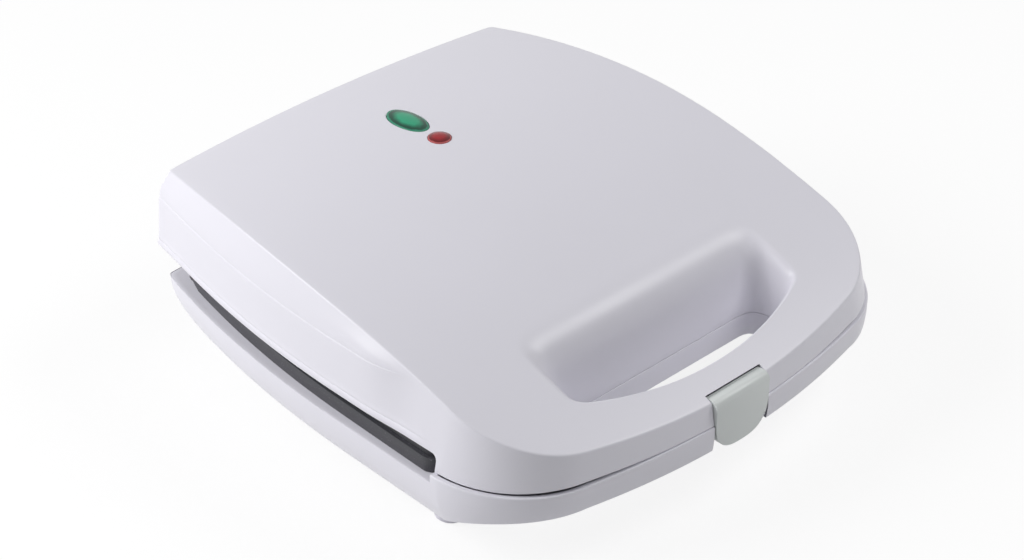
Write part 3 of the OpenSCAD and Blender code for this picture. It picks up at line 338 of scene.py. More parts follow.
def grip_half(side, back, ahead, soften=2.2):
    """Right half of the finger opening's outline, grown sideways, to the rear and to the front, as
    evenly spaced points from the rear middle to the front middle."""
    w, r = GRIP_HALF_W + side, max(GRIP_R, side / 2)
    ry, fy = -GRIP_REAR + back, -GRIP_FRONT - ahead
    arc_r = (w ** 2 + GRIP_BOW ** 2) / (2 * GRIP_BOW)
    arc_a = math.asin(w / arc_r)
    points = [(0, ry)]
    points += arc(w - r, ry - r, r, 90, 0)
    points += arc(0, fy + arc_r, arc_r, -90 + math.degrees(arc_a), -90, 30)
    points = np.array(points)
    ring = np.concatenate([points, points[-2:0:-1] * (-1, 1)])
    ring = np.concatenate([ring, ring[:1]])
    lengths = np.concatenate([[0], np.cumsum(np.hypot(*np.diff(ring, axis=0).T))])
    s = np.linspace(0, lengths[-1], GRIP_POINTS, endpoint=False)
    even = np.stack([np.interp(s, lengths, ring[:, k]) for k in (0, 1)], axis=-1)
    step = lengths[-1] / GRIP_POINTS
    reach = int(3 * soften / step) + 1
    weights = np.exp(-0.5 * (np.arange(-reach, reach + 1) * step / soften) ** 2)
    weights /= weights.sum()
    padded = np.concatenate([even[-reach:], even, even[:reach]])
    smooth = np.stack([np.convolve(padded[:, k], weights, "valid") for k in (0, 1)], axis=-1)
    return smooth[:GRIP_POINTS // 2 + 1]


def grip_columns():
    """Shares of the way round the opening at which the casing's columns meet it."""
    outer = [0, REAR_W / 2, along_at_y(-WIDEST_L), along_at_y(-SLOT_L), HALF_L - 105, HALF_L - 60, HALF_L]
    inner = [0, 0.25, 0.38, 0.545, 0.66, 0.78, 1]
    return np.interp(COLUMNS, outer, inner)


GRIP_SHARES = grip_columns()


def grip_points(side, back, ahead, soften=2.2):
    """The opening's outline at the casing's columns. Each amount may be one number for the outline."""
    half = grip_half(side, back, ahead, soften)
    at = GRIP_SHARES * (len(half) - 1)
    return np.stack([np.interp(at, np.arange(len(half)), half[:, k]) for k in (0, 1)], axis=-1)


def with_z(xy, z):
    return np.column_stack([xy, np.broadcast_to(z, len(xy))])


def bezier(a, b, c, t):
    return (1 - t) ** 2 * a + 2 * t * (1 - t) * b + t ** 2 * c


# ---- Lid ------------------------------------------------------------------------------------------

CREASE_R = 0.9
EDGE_R = 0.5
SHOULDER_SWELL = 0.7
LEDGE_OUT = 0.3
# The skirt's foot along the slot: height above the edge and how far it stands out, a ridge over a bead
BEAD = ((7.5, 0), (6.4, 0.05), (5.6, 0.22), (5.0, 0.32), (4.5, 0.26), (4.1, 0.04), (3.8, -0.02), (3.5, 0.12),
        (3.0, 0.38), (2.3, 0.52), (1.6, 0.5), (1.0, 0.36), (0.5, 0.1))
GAP_LEAST = 0.12
GAP_CORNER = 0.85
GAP_AT = 62                  # distance past the slot's end at which the gap is widest
GAP_SPREAD = 34
LEDGE_LEAST = 0.04
LEDGE_LOW = 1.9


def parting_gap(s):
    """Half the gap between the handle's halves: a hairline that opens round the front corners."""
    middle = along_at_y(-SLOT_L) + GAP_AT
    return GAP_LEAST + GAP_CORNER * np.exp(-((s - middle) / GAP_SPREAD) ** 2)


def lid_edge():
    """Lower edge of the lid's skirt at each column: distance along the outline, height, and the
    direction into the skirt, along the outline and upwards."""
    s, z = COLUMNS.copy(), PART_Z + parting_gap(COLUMNS)
    turn_s, turn_z = np.zeros(len(s)), np.ones(len(s))
    z[:TURN_FIRST + 1] = SLOT_TOP_Z
    steps = TURN_LAST - TURN_FIRST
    bend = 8
    for k in range(steps + 1):
        i = TURN_FIRST + k
        if k <= bend:
            a = math.pi / 2 * k / bend
            y = -SLOT_L + SLOT_CORNER_R - SLOT_CORNER_R * math.sin(a)
            z[i] = SLOT_TOP_Z - SLOT_CORNER_R + SLOT_CORNER_R * math.cos(a)
            turn_s[i], turn_z[i] = math.sin(a), math.cos(a)
        else:
            y = -SLOT_L
            t = (k - bend) / (steps - bend)
            z[i] = mix(SLOT_TOP_Z - SLOT_CORNER_R, PART_Z + GAP_LEAST, t)
            turn_s[i], turn_z[i] = (1, 0) if t < 1 else (0.7, 0.7)
        s[i] = along_at_y(y)
    return s, z, turn_s, turn_z


def rim_at(s, rim, out, z):
    """Points at distances s along the outline, standing out by the rim's four amounts and out more."""
    r = [np.broadcast_to(v + out, len(s)) for v in rim]
    t = [np.interp(s, ALONG, TABLE[:, k]) for k in range(10)]
    x = t[0] + r[0] * t[2] + r[1] * t[4] + r[2] * t[6] + r[3] * t[8]
    y = t[1] + r[0] * t[3] + r[1] * t[5] + r[2] * t[7] + r[3] * t[9]
    return np.column_stack([x, y, np.broadcast_to(z, len(s))])


CREASE = rim_at(COLUMNS, (0, 0, 0, 0), 0, 0)[:, :2]
CREASE_Z = dome(CREASE[:, 0], CREASE[:, 1])
SHOULDER_Z = np.minimum(CREASE_Z - 1.8, GROOVE_Z)
STEP = smoothstep(2.2, 9, CREASE_Z - SHOULDER_Z)


def shoulder_reach():
    """How far the shoulder's foot stands out at each column: rear, side, front and the rear's push back.
    Past the slot's end the shoulder fades into a wall that leans straight from crease to foot."""
    straight = (CREASE_Z - SHOULDER_Z) / (CREASE_Z - PART_Z)
    rims = zip((*SHOULDER_RIM, SHOULDER_RIM[0]), (*LID_RIM, LID_RIM[0]))
    return [near * STEP + far * straight * (1 - STEP) for near, far in rims]


REACH = shoulder_reach()


def lid_side_rim(s, z, top_z):
    """How far the lid's side stands out at distances s and heights z, below its shoulder."""
    t = np.clip((top_z - z) / (top_z - PART_Z), 0, 1.2)
    return [mix(np.interp(s, COLUMNS, near), far, t) for near, far in zip(REACH, (*LID_RIM, LID_RIM[0]))]


def crease_rows(inset, steps=6):
    """The crease's rounding, from the top face round to the shoulder."""
    r = CREASE_R
    inner = rim_at(COLUMNS, (0, 0, 0, 0), -inset - r, 0)
    inner[:, 2] = dome(inner[:, 0], inner[:, 1]) - inset
    corner = rim_at(COLUMNS, (0, 0, 0, 0), -inset, CREASE_Z - inset)
    share = r / np.maximum(CREASE_Z - SHOULDER_Z, r)
    outer = rim_at(COLUMNS, [v * share for v in REACH], -inset, CREASE_Z - inset - r)
    return [bezier(inner, corner, outer, t) for t in np.linspace(0, 1, steps)]


def shoulder_rows(inset, steps=10):
    """The slanted shoulder, crowned a little and rolled under at its foot."""
    rows = []
    top = CREASE_R / np.maximum(CREASE_Z - SHOULDER_Z, CREASE_R)
    for t in np.linspace(0, 1, steps)[1:]:
        share = mix(top, 1, t)
        swell = SHOULDER_SWELL * STEP * math.sin(math.pi * t ** 1.3)
        z = mix(CREASE_Z, SHOULDER_Z, share) - inset * (1 - t)
        rows.append(rim_at(COLUMNS, [v * share for v in REACH], swell - inset, z))
    return rows


def skirt_point(s, z, out):
    return rim_at(s, lid_side_rim(s, z, np.interp(s, COLUMNS, SHOULDER_Z)), out, z)


def skirt_rows():
    """The skirt's face with the ledge on its top and its bead along the slot, its rounded lower edge and
    the inner face."""
    s_low, z_low, turn_s, turn_z = lid_edge()
    bead_share = 1 - smoothstep(along_at_y(-SLOT_L + 14), along_at_y(-SLOT_L + 3), COLUMNS)
    rows = []
    ledge = mix(LEDGE_LEAST, 1, STEP)
    for drop, out in ((0.35, -0.18), (0.75, -0.25), (1.0, -0.1), (1.2, 0.3), (1.5, 0.85), (LEDGE_LOW, 1)):
        rows.append(skirt_point(COLUMNS, SHOULDER_Z - drop * ledge, LEDGE_OUT * out * STEP))
    start_z = SHOULDER_Z - LEDGE_LOW * ledge
    face = LEDGE_OUT * STEP

    def up(h):
        return s_low + turn_s * h, z_low + turn_z * h

    edge_s, edge_z = up(BEAD[0][0])
    for t in np.linspace(0, 1, 10)[1:-1]:
        rows.append(skirt_point(mix(COLUMNS, edge_s, t), mix(start_z, edge_z, t), face))
    for h, out in BEAD:
        rows.append(skirt_point(*up(h), face + out * bead_share))
    for a in np.radians((30, 60, 90)):
        h = EDGE_R * (1 - math.sin(a))
        rows.append(skirt_point(*up(h), face + BEAD[-1][1] * bead_share - EDGE_R * (1 - math.cos(a))))
    for depth, h in ((WALL - 0.3, 0), (WALL, 0.3), (WALL, 2)):
        rows.append(skirt_point(*up(h), -depth))
    s, z = up(2)
    for t in (0.5, 1):
        rows.append(skirt_point(mix(s, COLUMNS, t), mix(z, SHOULDER_Z - WALL, t), -WALL))
    return rows


LIP_ROWS = 9
TOP_ROWS = 22
# How far the scoop's knee and lip lie outside the opening: sideways, to the rear, to the front
KNEE = (7.5, 8.4, 0)
LIP = (11, 21, 1.3)
LIP_SOFTEN = 4


def scoop_rows(inset):
    """The finger opening's wall in the lid from the parting plane up, and its soft lip onto the top
    face. inset is 0 outside and the wall's thickness inside."""
    low_z = PART_Z + GAP_LEAST
    foot = with_z(grip_points(inset, inset, inset), low_z)
    knee_xy = grip_points(*(reach + inset for reach in KNEE))
    knee = with_z(knee_xy, dome(knee_xy[:, 0], knee_xy[:, 1]) - inset)
    lip_xy = grip_points(*(reach + inset for reach in LIP), LIP_SOFTEN)
    lip = with_z(lip_xy, dome(lip_xy[:, 0], lip_xy[:, 1]) - inset)
    depth = np.linalg.norm(lip - knee, axis=1)
    wall_l = np.linalg.norm(knee - foot, axis=1)
    start = np.clip(1 - depth * 1.1 / wall_l, 0.2, 0.97)[:, None]
    below = foot + (knee - foot) * start
    rows = []
    if inset == 0:
        for a in np.radians((90, 60, 30, 0)):
            out = EDGE_R * (1 - math.cos(a))
            rows.append(with_z(grip_points(out, out, out), low_z + EDGE_R * (1 - math.sin(a))))
    else:
        rows.append(foot)
    for t in (0.15, 0.4, 0.7):
        rows.append(foot + (below - foot) * t + np.array([0, 0, EDGE_R * (1 - t)]))
    rows += [bezier(below, knee, lip, t) for t in np.linspace(0, 1, LIP_ROWS)]
    return rows


def top_rows(lip, edge, inset):
    """The top face between the opening's lip and the crease."""
    rows = []
    for t in np.linspace(0, 1, TOP_ROWS + 1)[1:-1]:
        w = t ** 1.35
        xy = mix(lip[:, :2], edge[:, :2], w)
        rows.append(with_z(xy, dome(xy[:, 0], xy[:, 1]) - inset))
    return rows


def lid_skin():
    """The lid's moulding: out of the opening, over the top, down the side and back along the inside."""
    scoop = scoop_rows(0)
    crease = crease_rows(0)
    outside = scoop + top_rows(scoop[-1], crease[0], 0) + crease + shoulder_rows(0) + skirt_rows()
    inner_scoop = scoop_rows(WALL)
    inner_crease = crease_rows(WALL)
    inner_top = top_rows(inner_scoop[-1], inner_crease[0], WALL)
    inside = inner_crease[::-2] + inner_top[::-2] + inner_scoop[::-1]
    return closed_skin("lid_shell", outside + inside, 30)


# ---- Base -----------------------------------------------------------------------------------------

UNDER_H = 21.5
UNDER_BACK = 9
UNDER_BEND = 2.5
GRIP_UNDER = 12
UNDER_FLARE = 36
UNDER_SWEEP = 40
HANDLE_L = TOP_L - SLOT_L
BASE_TOP_R = 0.7


def under_z(y):
    """Height of the base's underside, which rises below the handle."""
    t = np.clip((UNDER_BACK - SLOT_L - y) / (HANDLE_L + UNDER_BACK), 0, 1)
    return BOTTOM_Z + UNDER_H * (1 - (1 - t) ** UNDER_BEND)


def base_top():
    """Upper edge of the base's outside at each column: distance along the outline and height."""
    s, z = COLUMNS.copy(), PART_Z - parting_gap(COLUMNS)
    z[:TURN_FIRST + 1] = FLANGE_Z
    for i in range(TURN_FIRST, TURN_LAST + 1):
        t = (i - TURN_FIRST) / (TURN_LAST - TURN_FIRST)
        s[i] = along_at_y(mix(TURN_FROM, -SLOT_L, min(t * 2, 1)))
        z[i] = mix(FLANGE_Z, PART_Z - GAP_LEAST, max(0.0, t * 2 - 1))
    return s, z


def bowl_rows(inset, steps=14):
    """The base's side from its bottom up to the flange, drawn in like a quarter ellipse."""
    top_s, top_z = base_top()
    angles = np.linspace(0, 90, 61)
    rows = []
    tracks = []
    for a in np.radians(angles):
        draw = BOWL_DRAW * (1 - math.cos(a))
        z = FLANGE_Z - (FLANGE_Z - BOTTOM_Z) * math.sin(a)
        tracks.append(rim_at(COLUMNS, [v - draw for v in BASE_EDGE], -inset, z))
    tracks = np.array(tracks)
    gap = tracks[:, :, 2] - under_z(tracks[:, :, 1]) - inset * 0.8
    ends = np.array([np.interp(0, -gap[:, c], angles) for c in range(len(COLUMNS))])
    ends[gap[-1] >= -1e-6] = 90
    for t in np.linspace(1, 0, steps):
        a = np.radians(ends * t)
        draw = BOWL_DRAW * (1 - np.cos(a))
        z = FLANGE_Z - (FLANGE_Z - BOTTOM_Z) * np.sin(a)
        rows.append(rim_at(COLUMNS, [v - draw for v in BASE_EDGE], -inset, z))
    for t in (0.3, 0.6, 1):
        s = mix(COLUMNS, top_s, t)
        z = np.maximum(mix(FLANGE_Z, top_z, t) - BASE_TOP_R, FLANGE_Z - BASE_TOP_R)
        rows.append(rim_at(s, BASE_EDGE, -inset, z))
    return rows


def base_grip_rows(inset):
    """The finger opening's wall in the base, from the parting plane down to the underside."""
    rows = []
    high_z = PART_Z - GAP_LEAST
    if inset == 0:
        for a in np.radians((90, 60, 30, 0)):
            out = EDGE_R * (1 - math.cos(a))
            rows.append(with_z(grip_points(out, out, out), high_z - EDGE_R * (1 - math.sin(a))))
    else:
        rows.append(with_z(grip_points(inset, inset, inset), high_z))
    straight_z = PART_Z - GRIP_UNDER
    plain = grip_points(inset, inset, inset)
    full = grip_points(inset + UNDER_FLARE, inset + UNDER_SWEEP, inset)
    rows.append(with_z(plain, straight_z + 1.5))
    for share in (0, 0.08, 0.25, 0.5, 0.75, 1):
        xy = plain
        for _ in range(8):
            z = under_z(xy[:, 1]) + inset
            flare = np.clip((straight_z - z) / straight_z, 0, 1) * share
            xy = mix(plain, full, flare[:, None])
        rows.append(with_z(xy, mix(straight_z, z, share)))
    return rows


def base_skin():
    """The base's moulding: down the opening, across the underside, up the bowl and back inside."""
    grip = base_grip_rows(0)
    bowl = bowl_rows(0)
    under = []
    for t in np.linspace(0, 1, 16)[1:-1]:
        xy = mix(grip[-1][:, :2], bowl[0][:, :2], t)
        under.append(with_z(xy, under_z(xy[:, 1])))
    top_s, top_z = base_top()
    edge = []
    for a in np.radians((30, 60, 90)):
        turn, drop = BASE_TOP_R * (1 - math.cos(a)), BASE_TOP_R * (1 - math.sin(a))
        edge.append(rim_at(top_s, BASE_EDGE, -turn, top_z - drop))
    edge.append(rim_at(top_s, BASE_EDGE, -WALL, top_z))
    inner_bowl = bowl_rows(WALL, 8)[::-1][3:]
    inner_grip = base_grip_rows(WALL)
    inner_under = []
    for t in np.linspace(1, 0, 10)[1:-1]:
        xy = mix(inner_grip[-1][:, :2], inner_bowl[-1][:, :2], t)
        inner_under.append(with_z(xy, under_z(xy[:, 1]) + WALL))
    rings = grip + under + bowl + edge + inner_bowl + inner_under + inner_grip[::-1]
    return closed_skin("base_shell", rings, 30)


# ---- Latch ----------------------------------------------------------------------------------------

NOTCH_HALF = 18
LATCH_GAP = 0.5
LATCH_HALF = NOTCH_HALF - LATCH_GAP
LATCH_T = 3.4
LATCH_LIP = 7.5
LIP_T = 1.8
LATCH_BEND = 2.6
LATCH_SIDE_H = 5.5
LATCH_DROP = 23.8
LATCH_LIP_SOFT = 0.2
LATCH_BORE_H = 2.4           # the latch's thick part round its pin: half its height, its depth
LATCH_BORE_L = (1.2, 2.4)
MOON_FULL = 0.74            # 1 gives the tongue a half ellipse, less fills its corners
LEDGE_Z = PART_Z - 7.5
HOOK_L = 2.6
HOOK_H = 3.6
HOOK_GAP = 0.4
LATCH_FRONT = -TOP_L - BASE_RIM[2]
PIN_Y = -(TOP_L + LID_RIM[2] - LATCH_T / 2 - LATCH_BEND)
PIN_Z = dome(0, PIN_Y) - LATCH_BEND - LATCH_T / 2
SWING_R = math.hypot(LATCH_LIP - LATCH_T / 2 - LATCH_BEND, LATCH_BEND + LATCH_T / 2) + LATCH_GAP
CATCH_HALF = NOTCH_HALF + 2 * WALL
FAR = 60


def notch_tool():
    """Room for the latch and its swing, cut from both halves of the handle."""
    ledge_y = LATCH_FRONT + LATCH_T + LATCH_GAP
    hook_y = ledge_y + HOOK_L + HOOK_GAP
    profile = [(-TOP_L - FAR, 0), (hook_y, 0), (hook_y, LEDGE_Z), (ledge_y, LEDGE_Z), (ledge_y, PART_Z)]
    profile += arc(PIN_Y, PIN_Z, SWING_R, -90, 90, 24)
    profile += [(PIN_Y, PEAK_Z), (-TOP_L - FAR, PEAK_Z)]
    return prism_x("notch", profile, -NOTCH_HALF, NOTCH_HALF)


def lid_catch():
    """Solid middle of the lid's handle half, which carries the latch."""
    rear, top_front, front = -GRIP_FRONT - 1, -TOP_L + 2.5, -TOP_L + 0.2
    low = PART_Z + GAP_LEAST
    profile = [(rear, low), (rear, dome(CATCH_HALF, rear) - WALL / 2)]
    profile += [(top_front, dome(CATCH_HALF, top_front) - WALL / 2), (front, low)]
    return cut(prism_x("lid_catch", profile, -CATCH_HALF, CATCH_HALF), notch_tool())


def base_catch():
    """Solid middle of the base's handle half, with the ledge that the latch's hook catches."""
    low = under_z(-GRIP_FRONT) + WALL / 2
    block = box("base_catch", -CATCH_HALF, CATCH_HALF, -TOP_L, -GRIP_FRONT - 1, low, PART_Z - GAP_LEAST)
    return cut(block, notch_tool())


def latch_clip():
    """The latch: a lip hooked over the lid's edge, a flat front that ends in a half moon, and the hook
    behind it that catches the base's ledge."""
    back = LATCH_FRONT + LATCH_T
    lip = LATCH_FRONT + LATCH_LIP
    top = PIN_Z + LATCH_BEND + LATCH_T / 2
    low = PIN_Z - LATCH_DROP
    hook_z = LEDGE_Z - HOOK_GAP
    bend = LATCH_BEND + 1
    profile = [(lip, top - LIP_T), (lip, top - LATCH_LIP_SOFT)]
    profile += arc(LATCH_FRONT + bend, top - bend, bend, 90, 180, 14)
    profile += [(LATCH_FRONT, low), (back, low), (back, hook_z - HOOK_H)]
    profile += [(back + HOOK_L, hook_z - HOOK_H + HOOK_L / 2), (back + HOOK_L, hook_z), (back, hook_z)]
    low_y, high_y = (PIN_Y + length for length in LATCH_BORE_L)
    profile += [(back, PIN_Z - LATCH_BORE_H), (low_y, PIN_Z - LATCH_BORE_H)]
    profile += [(high_y, PIN_Z), (high_y, top - LIP_T)]
    clip = prism_x("latch_clip", profile, -LATCH_HALF, LATCH_HALF)
    moon_z = PIN_Z - LATCH_SIDE_H
    face = [(-LATCH_HALF - 1, PIN_Z + FAR), (LATCH_HALF + 1, PIN_Z + FAR), (LATCH_HALF + 1, moon_z)]
    for a in np.linspace(0, math.pi, 60):
        across = abs(math.cos(a)) ** MOON_FULL * math.copysign(1, math.cos(a))
        face.append((LATCH_HALF * across, moon_z - (LATCH_DROP - LATCH_SIDE_H) * math.sin(a) ** MOON_FULL))
    face += [(-LATCH_HALF - 1, moon_z)]
    moon = prism_y("moon", face, LATCH_FRONT - FAR, -TOP_L + FAR)
    return bevel(cut(clip, moon, operation="INTERSECT"), 0.55)


# ---- Lamps ----------------------------------------------------------------------------------------

GREEN = (53.5, 13.5, 7.25)      # distance from the rear edge, half length and half width
RED = (76.5, 5.8, 5.8)
LENS_GAP = 0.25
LENS_RISE = 1.5
LENS_DEPTH = 4
LENS_EDGE_R = 0.5
LENS_RIM = (-0.1, 0.35)      # height of the edge's start and of its top over the lid


def oval(at, half_l, half_w, grow=0.0, n=72):
    turns = np.linspace(0, 2 * math.pi, n, endpoint=False)
    return [((half_w + grow) * math.cos(a), -at + (half_l + grow) * math.sin(a)) for a in turns]


def window_tool(at, half_l, half_w):
    return prism_z("window", oval(at, half_l, half_w, LENS_GAP), GROOVE_Z, PEAK_Z + FAR)


def lens(name, at, half_l, half_w):
    """A domed lens with a tight round edge, its rim level with the lid."""
    ring = np.array(oval(at, half_l, half_w))
    centre = np.array([0, -at])
    lid_z = dome(0, -at)
    low, high = LENS_RIM
    rows = [with_z(ring, lid_z - LENS_DEPTH), with_z(ring, lid_z - high), with_z(ring, lid_z + low)]
    for a in np.radians((25, 50, 75, 90)):
        inset = LENS_EDGE_R * (1 - math.cos(a)) / half_w
        rows.append(with_z(centre + (ring - centre) * (1 - inset), lid_z + mix(low, high, math.sin(a))))
    edge = 1 - LENS_EDGE_R / half_w
    for t in (0.94, 0.86, 0.76, 0.64, 0.5, 0.36, 0.2, 0.08):
        rise = mix(LENS_RISE, high, t ** 2.2)
        rows.append(with_z(centre + (ring - centre) * edge * t, lid_z + rise))
    points = np.concatenate(rows)
    n = len(ring)
    faces = grid_faces(len(rows), n, False, True)
    faces += [tuple(range(n)), tuple(range((len(rows) - 1) * n, len(rows) * n))]
    return outward(mesh_object(name, points, faces, 50))


# ---- Hinge and inner features of the shells ---------------------------------------------------------

HINGE_Y = -HINGE_IN
HINGE_Z = FLANGE_Z + 6.5
HINGE_X = 72
KNUCKLE_R = 6
KNUCKLE_W = 12
EAR_W = 6
KNUCKLE_GAP = 0.4
EAR_OFF = KNUCKLE_W / 2 + KNUCKLE_GAP + EAR_W / 2
SADDLE_W = 16
WEB_HALF = 5
WEB_LOW_Z = SLOT_TOP_Z + 2
WEB_TOP_Z = HINGE_Z + 20
WEB_BACK_Y = 6.4
FLANGE_T = 2.5
FLANGE_LOW = 0.03           # how far the flange lies below the wall's top, so that no faces coincide
BULKHEAD_LOW = (27, 17.5)    # the base bulkhead's lower edge: distance outside the opening and height
BULKHEAD_HIGH = (21, 25.5)
SCOOP_DROP = 9               # how far the lid's bulkhead stays below the top face under the scoop
PLATE_H = 7.8
PLATE_LOW_Z = FLANGE_Z + PLATE_H
PLATE_UP_Z = PLATE_LOW_Z + 0.3
PLATE_T = 2.6
PLATE_REAR = 9.5
PLATE_FRONT = 212
PLATE_CORNER_R = 7
PLATE_OUT = (0.8, 5)
SEAT_W = 4
POST_R = 4.5
POST_BORE_R = 1.9
HOLDER_POST_R = 4
HOLDER_BORE_R = POST_BORE_R - 0.2
HOLDER_Z = 86.7
HOLDER_H = 7
HOLDER_AWAY = 10             # distance of the lamp holder's posts from the windows' ends
SCREW_REAR_AT = 42
SCREW_REAR_IN = 9.4
SCREW_FRONT_AT = SLOT_L - 34
SCREW_FRONT_IN = 11
BUSH_X = 36
BUSH_Z = BOTTOM_Z + (FLANGE_Z - BOTTOM_Z) / 2
BUSH_R = 6.35
BUSH_SLOT_Y = -13.2
WIRE_HOLE = (-17, -5, 2.25)


def crease_x(y):
    """Distance of the crease from the middle at a place along the side."""
    return float(np.interp(-y, -TABLE[SIDE_FIRST:, 1], TABLE[SIDE_FIRST:, 0]))


def post_places():
    """Where the screws of both plates stand."""
    rear_x = crease_x(-SCREW_REAR_AT) - SCREW_REAR_IN
    front_x = crease_x(-SCREW_FRONT_AT) - SCREW_FRONT_IN
    pairs = ((rear_x, -SCREW_REAR_AT), (front_x, -SCREW_FRONT_AT))
    return [(side * x, y) for side in (-1, 1) for x, y in pairs]


def lid_knuckle(x):
    """Knuckle of the lid's hinge with the web that carries it."""
    open_a = math.degrees(math.acos(WEB_HALF / KNUCKLE_R))
    profile = [(HINGE_Y - WEB_HALF, WEB_TOP_Z)]
    profile += arc(HINGE_Y, HINGE_Z, KNUCKLE_R, 180 - open_a, 360 + open_a, 32)
    profile += [(HINGE_Y + WEB_HALF, WEB_LOW_Z), (WEB_BACK_Y, WEB_LOW_Z), (WEB_BACK_Y, WEB_TOP_Z)]
    return bevel(prism_x("lid_knuckle", profile, x - KNUCKLE_W / 2, x + KNUCKLE_W / 2), 0.35, 2, 40)


def base_ear(x, width):
    """Ear of the base's hinge, standing on the flange."""
    foot_z = FLANGE_Z - FLANGE_T / 2
    profile = [(HINGE_Y - KNUCKLE_R, foot_z), *arc(HINGE_Y, HINGE_Z, KNUCKLE_R, 180, -90, 36)]
    profile.append((HINGE_Y, foot_z))
    return bevel(prism_x("base_ear", profile, x - width / 2, x + width / 2), 0.35, 2, 40)


def plate_plan(inset, out_front=None):
    """Outline of a plate, less an inset. out_front is how far it stands out past the crease in front."""
    out_front = PLATE_OUT[1] if out_front is None else out_front
    r = PLATE_CORNER_R - inset / 2
    rear_y, front_y = -PLATE_REAR - inset, -PLATE_FRONT + inset
    rear_x = crease_x(rear_y) + PLATE_OUT[0] - inset
    front_x = crease_x(front_y) + out_front - inset
    half = arc(rear_x - r, rear_y - r, r, 90, 0, 10)
    for t in np.linspace(0, 1, 22)[1:-1]:
        y = mix(rear_y - r, front_y + r, t)
        half.append((crease_x(y) + mix(PLATE_OUT[0], out_front, t) - inset, y))
    half += arc(front_x - r, front_y + r, r, 0, -90, 10)
    return whole(half)


def bush_tool():
    """Slot for the cord's bush, round below and open at the top."""
    profile = arc(BUSH_X, BUSH_Z, BUSH_R, 180, 360, 28)
    profile += [(BUSH_X + BUSH_R, FLANGE_Z + 1), (BUSH_X - BUSH_R, FLANGE_Z + 1)]
    return prism_y("bush_slot", profile, BUSH_SLOT_Y, FAR)


def base_flange():
    """The base's flange: a flat rim round the seat of the lower plate."""
    stop = int(np.argmax(COLUMNS > along_at_y(-SLOT_L - 0.5)))
    half = rim_at(COLUMNS[:stop], BASE_EDGE, -WALL / 2, 0)[:, :2].tolist()
    half.append((half[-1][0], -SLOT_L - WALL / 2))
    flange = prism_z("base_flange", whole(half, True), FLANGE_Z - FLANGE_T, FLANGE_Z - FLANGE_LOW)
    cut(flange, prism_z("seat", plate_plan(SEAT_W), FLANGE_Z - 2 * FLANGE_T, FLANGE_Z + 1))
    x, y, r = WIRE_HOLE
    cut(flange, prism_z("wire_hole", arc(x, y, r, 0, 350, 24), FLANGE_Z - 2 * FLANGE_T, FLANGE_Z + 1))
    return cut(flange, bush_tool())


def base_bulkhead():
    """Wall between the bowl and the base's handle half."""
    half = [(TOP_W / 2 + BASE_RIM[1] - WALL / 2, PART_Z - GAP_LEAST)]
    for z in np.linspace(FLANGE_Z, BULKHEAD_LOW[1], 8):
        a = math.asin((FLANGE_Z - z) / (FLANGE_Z - BOTTOM_Z))
        half.append((half[0][0] - BOWL_DRAW * (1 - math.cos(a)), z))
    half += [(GRIP_HALF_W + out, z) for out, z in (BULKHEAD_LOW, BULKHEAD_HIGH)]
    return prism_y("base_bulkhead", whole(half), -SLOT_L - WALL, -SLOT_L)


def lid_bulkhead():
    """Wall that ends the slot, between the lid's hollow and its handle half. It stays below the scoop."""
    half = []
    for x in np.linspace(0, TOP_W / 2 - 1.5, 32):
        below = SCOOP_DROP * (1 - float(smoothstep(GRIP_HALF_W + 8, GRIP_HALF_W + 28, x)))
        half.append((x, dome(x, -SLOT_L) - WALL / 2 - below))
    foot_x = TOP_W / 2 + LID_RIM[1] - WALL / 2
    half += [(foot_x - 3.2, SLOT_TOP_Z + 6), (foot_x - 0.6, PART_Z + GAP_LEAST)]
    return prism_y("lid_bulkhead", whole(half, True), -SLOT_L - WALL, -SLOT_L)


def lid_inner():
    """What stands in the lid's hollow."""
    pieces = [lid_knuckle(side * HINGE_X) for side in (-1, 1)]
    for x, y in post_places():
        top_z = dome(x, y) - WALL / 2
        pieces.append(tube_z("post", x, y, POST_R, POST_BORE_R, PLATE_UP_Z + PLATE_T, top_z))
    for y in (-GREEN[0] + GREEN[1] + HOLDER_AWAY, -RED[0] - RED[1] - HOLDER_AWAY):
        top_z = dome(0, y) - WALL / 2
        pieces.append(tube_z("holder_post", 0, y, HOLDER_POST_R, HOLDER_BORE_R, HOLDER_Z + HOLDER_H, top_z))
    return pieces


def base_inner():
    """What stands in the base's hollow."""
    pieces = [base_flange()]
    for x, y in post_places():
        pieces.append(tube_z("post", x, y, POST_R, POST_BORE_R, BOTTOM_Z + 2, PLATE_LOW_Z - PLATE_T))
    for side in (-1, 1):
        pieces += [base_ear(side * HINGE_X + t * EAR_OFF, EAR_W) for t in (-1, 1)]
    pieces.append(base_ear(0, SADDLE_W))
    return pieces


# ---- Plates ---------------------------------------------------------------------------------------

PLATE_CLEAR = 1
PLATE_SKIRT = 3
FIELD_SIDE = 29
FIELD_SHORT = 8
FIELD_HALF_W = TOP_W / 2 - FIELD_SIDE
FIELD_REAR = 20
FIELD_FRONT = PLATE_FRONT - FIELD_SHORT
SEAM_W = 5
POCKET_H = 10
POCKET_DRAFT = 4
POCKET_OVER = 1              # how far the pockets' cuts run past the plate's face
SINK_R = 3.45
SINK_DEEP = 2.2
PLATE_EDGE_R = 0.45


def drawn_in(triangle, distance):
    """A triangle with all its sides moved in by the same distance."""
    t = np.array(triangle, float)
    lengths = np.linalg.norm(np.roll(t, -1, axis=0) - np.roll(t, 1, axis=0), axis=1)
    middle = (t * lengths[:, None]).sum(axis=0) / lengths.sum()
    (ax, ay), (bx, by) = t[1] - t[0], t[2] - t[0]
    radius = abs(ax * by - ay * bx) / lengths.sum()
    return middle + (t - middle) * (1 - distance / radius)


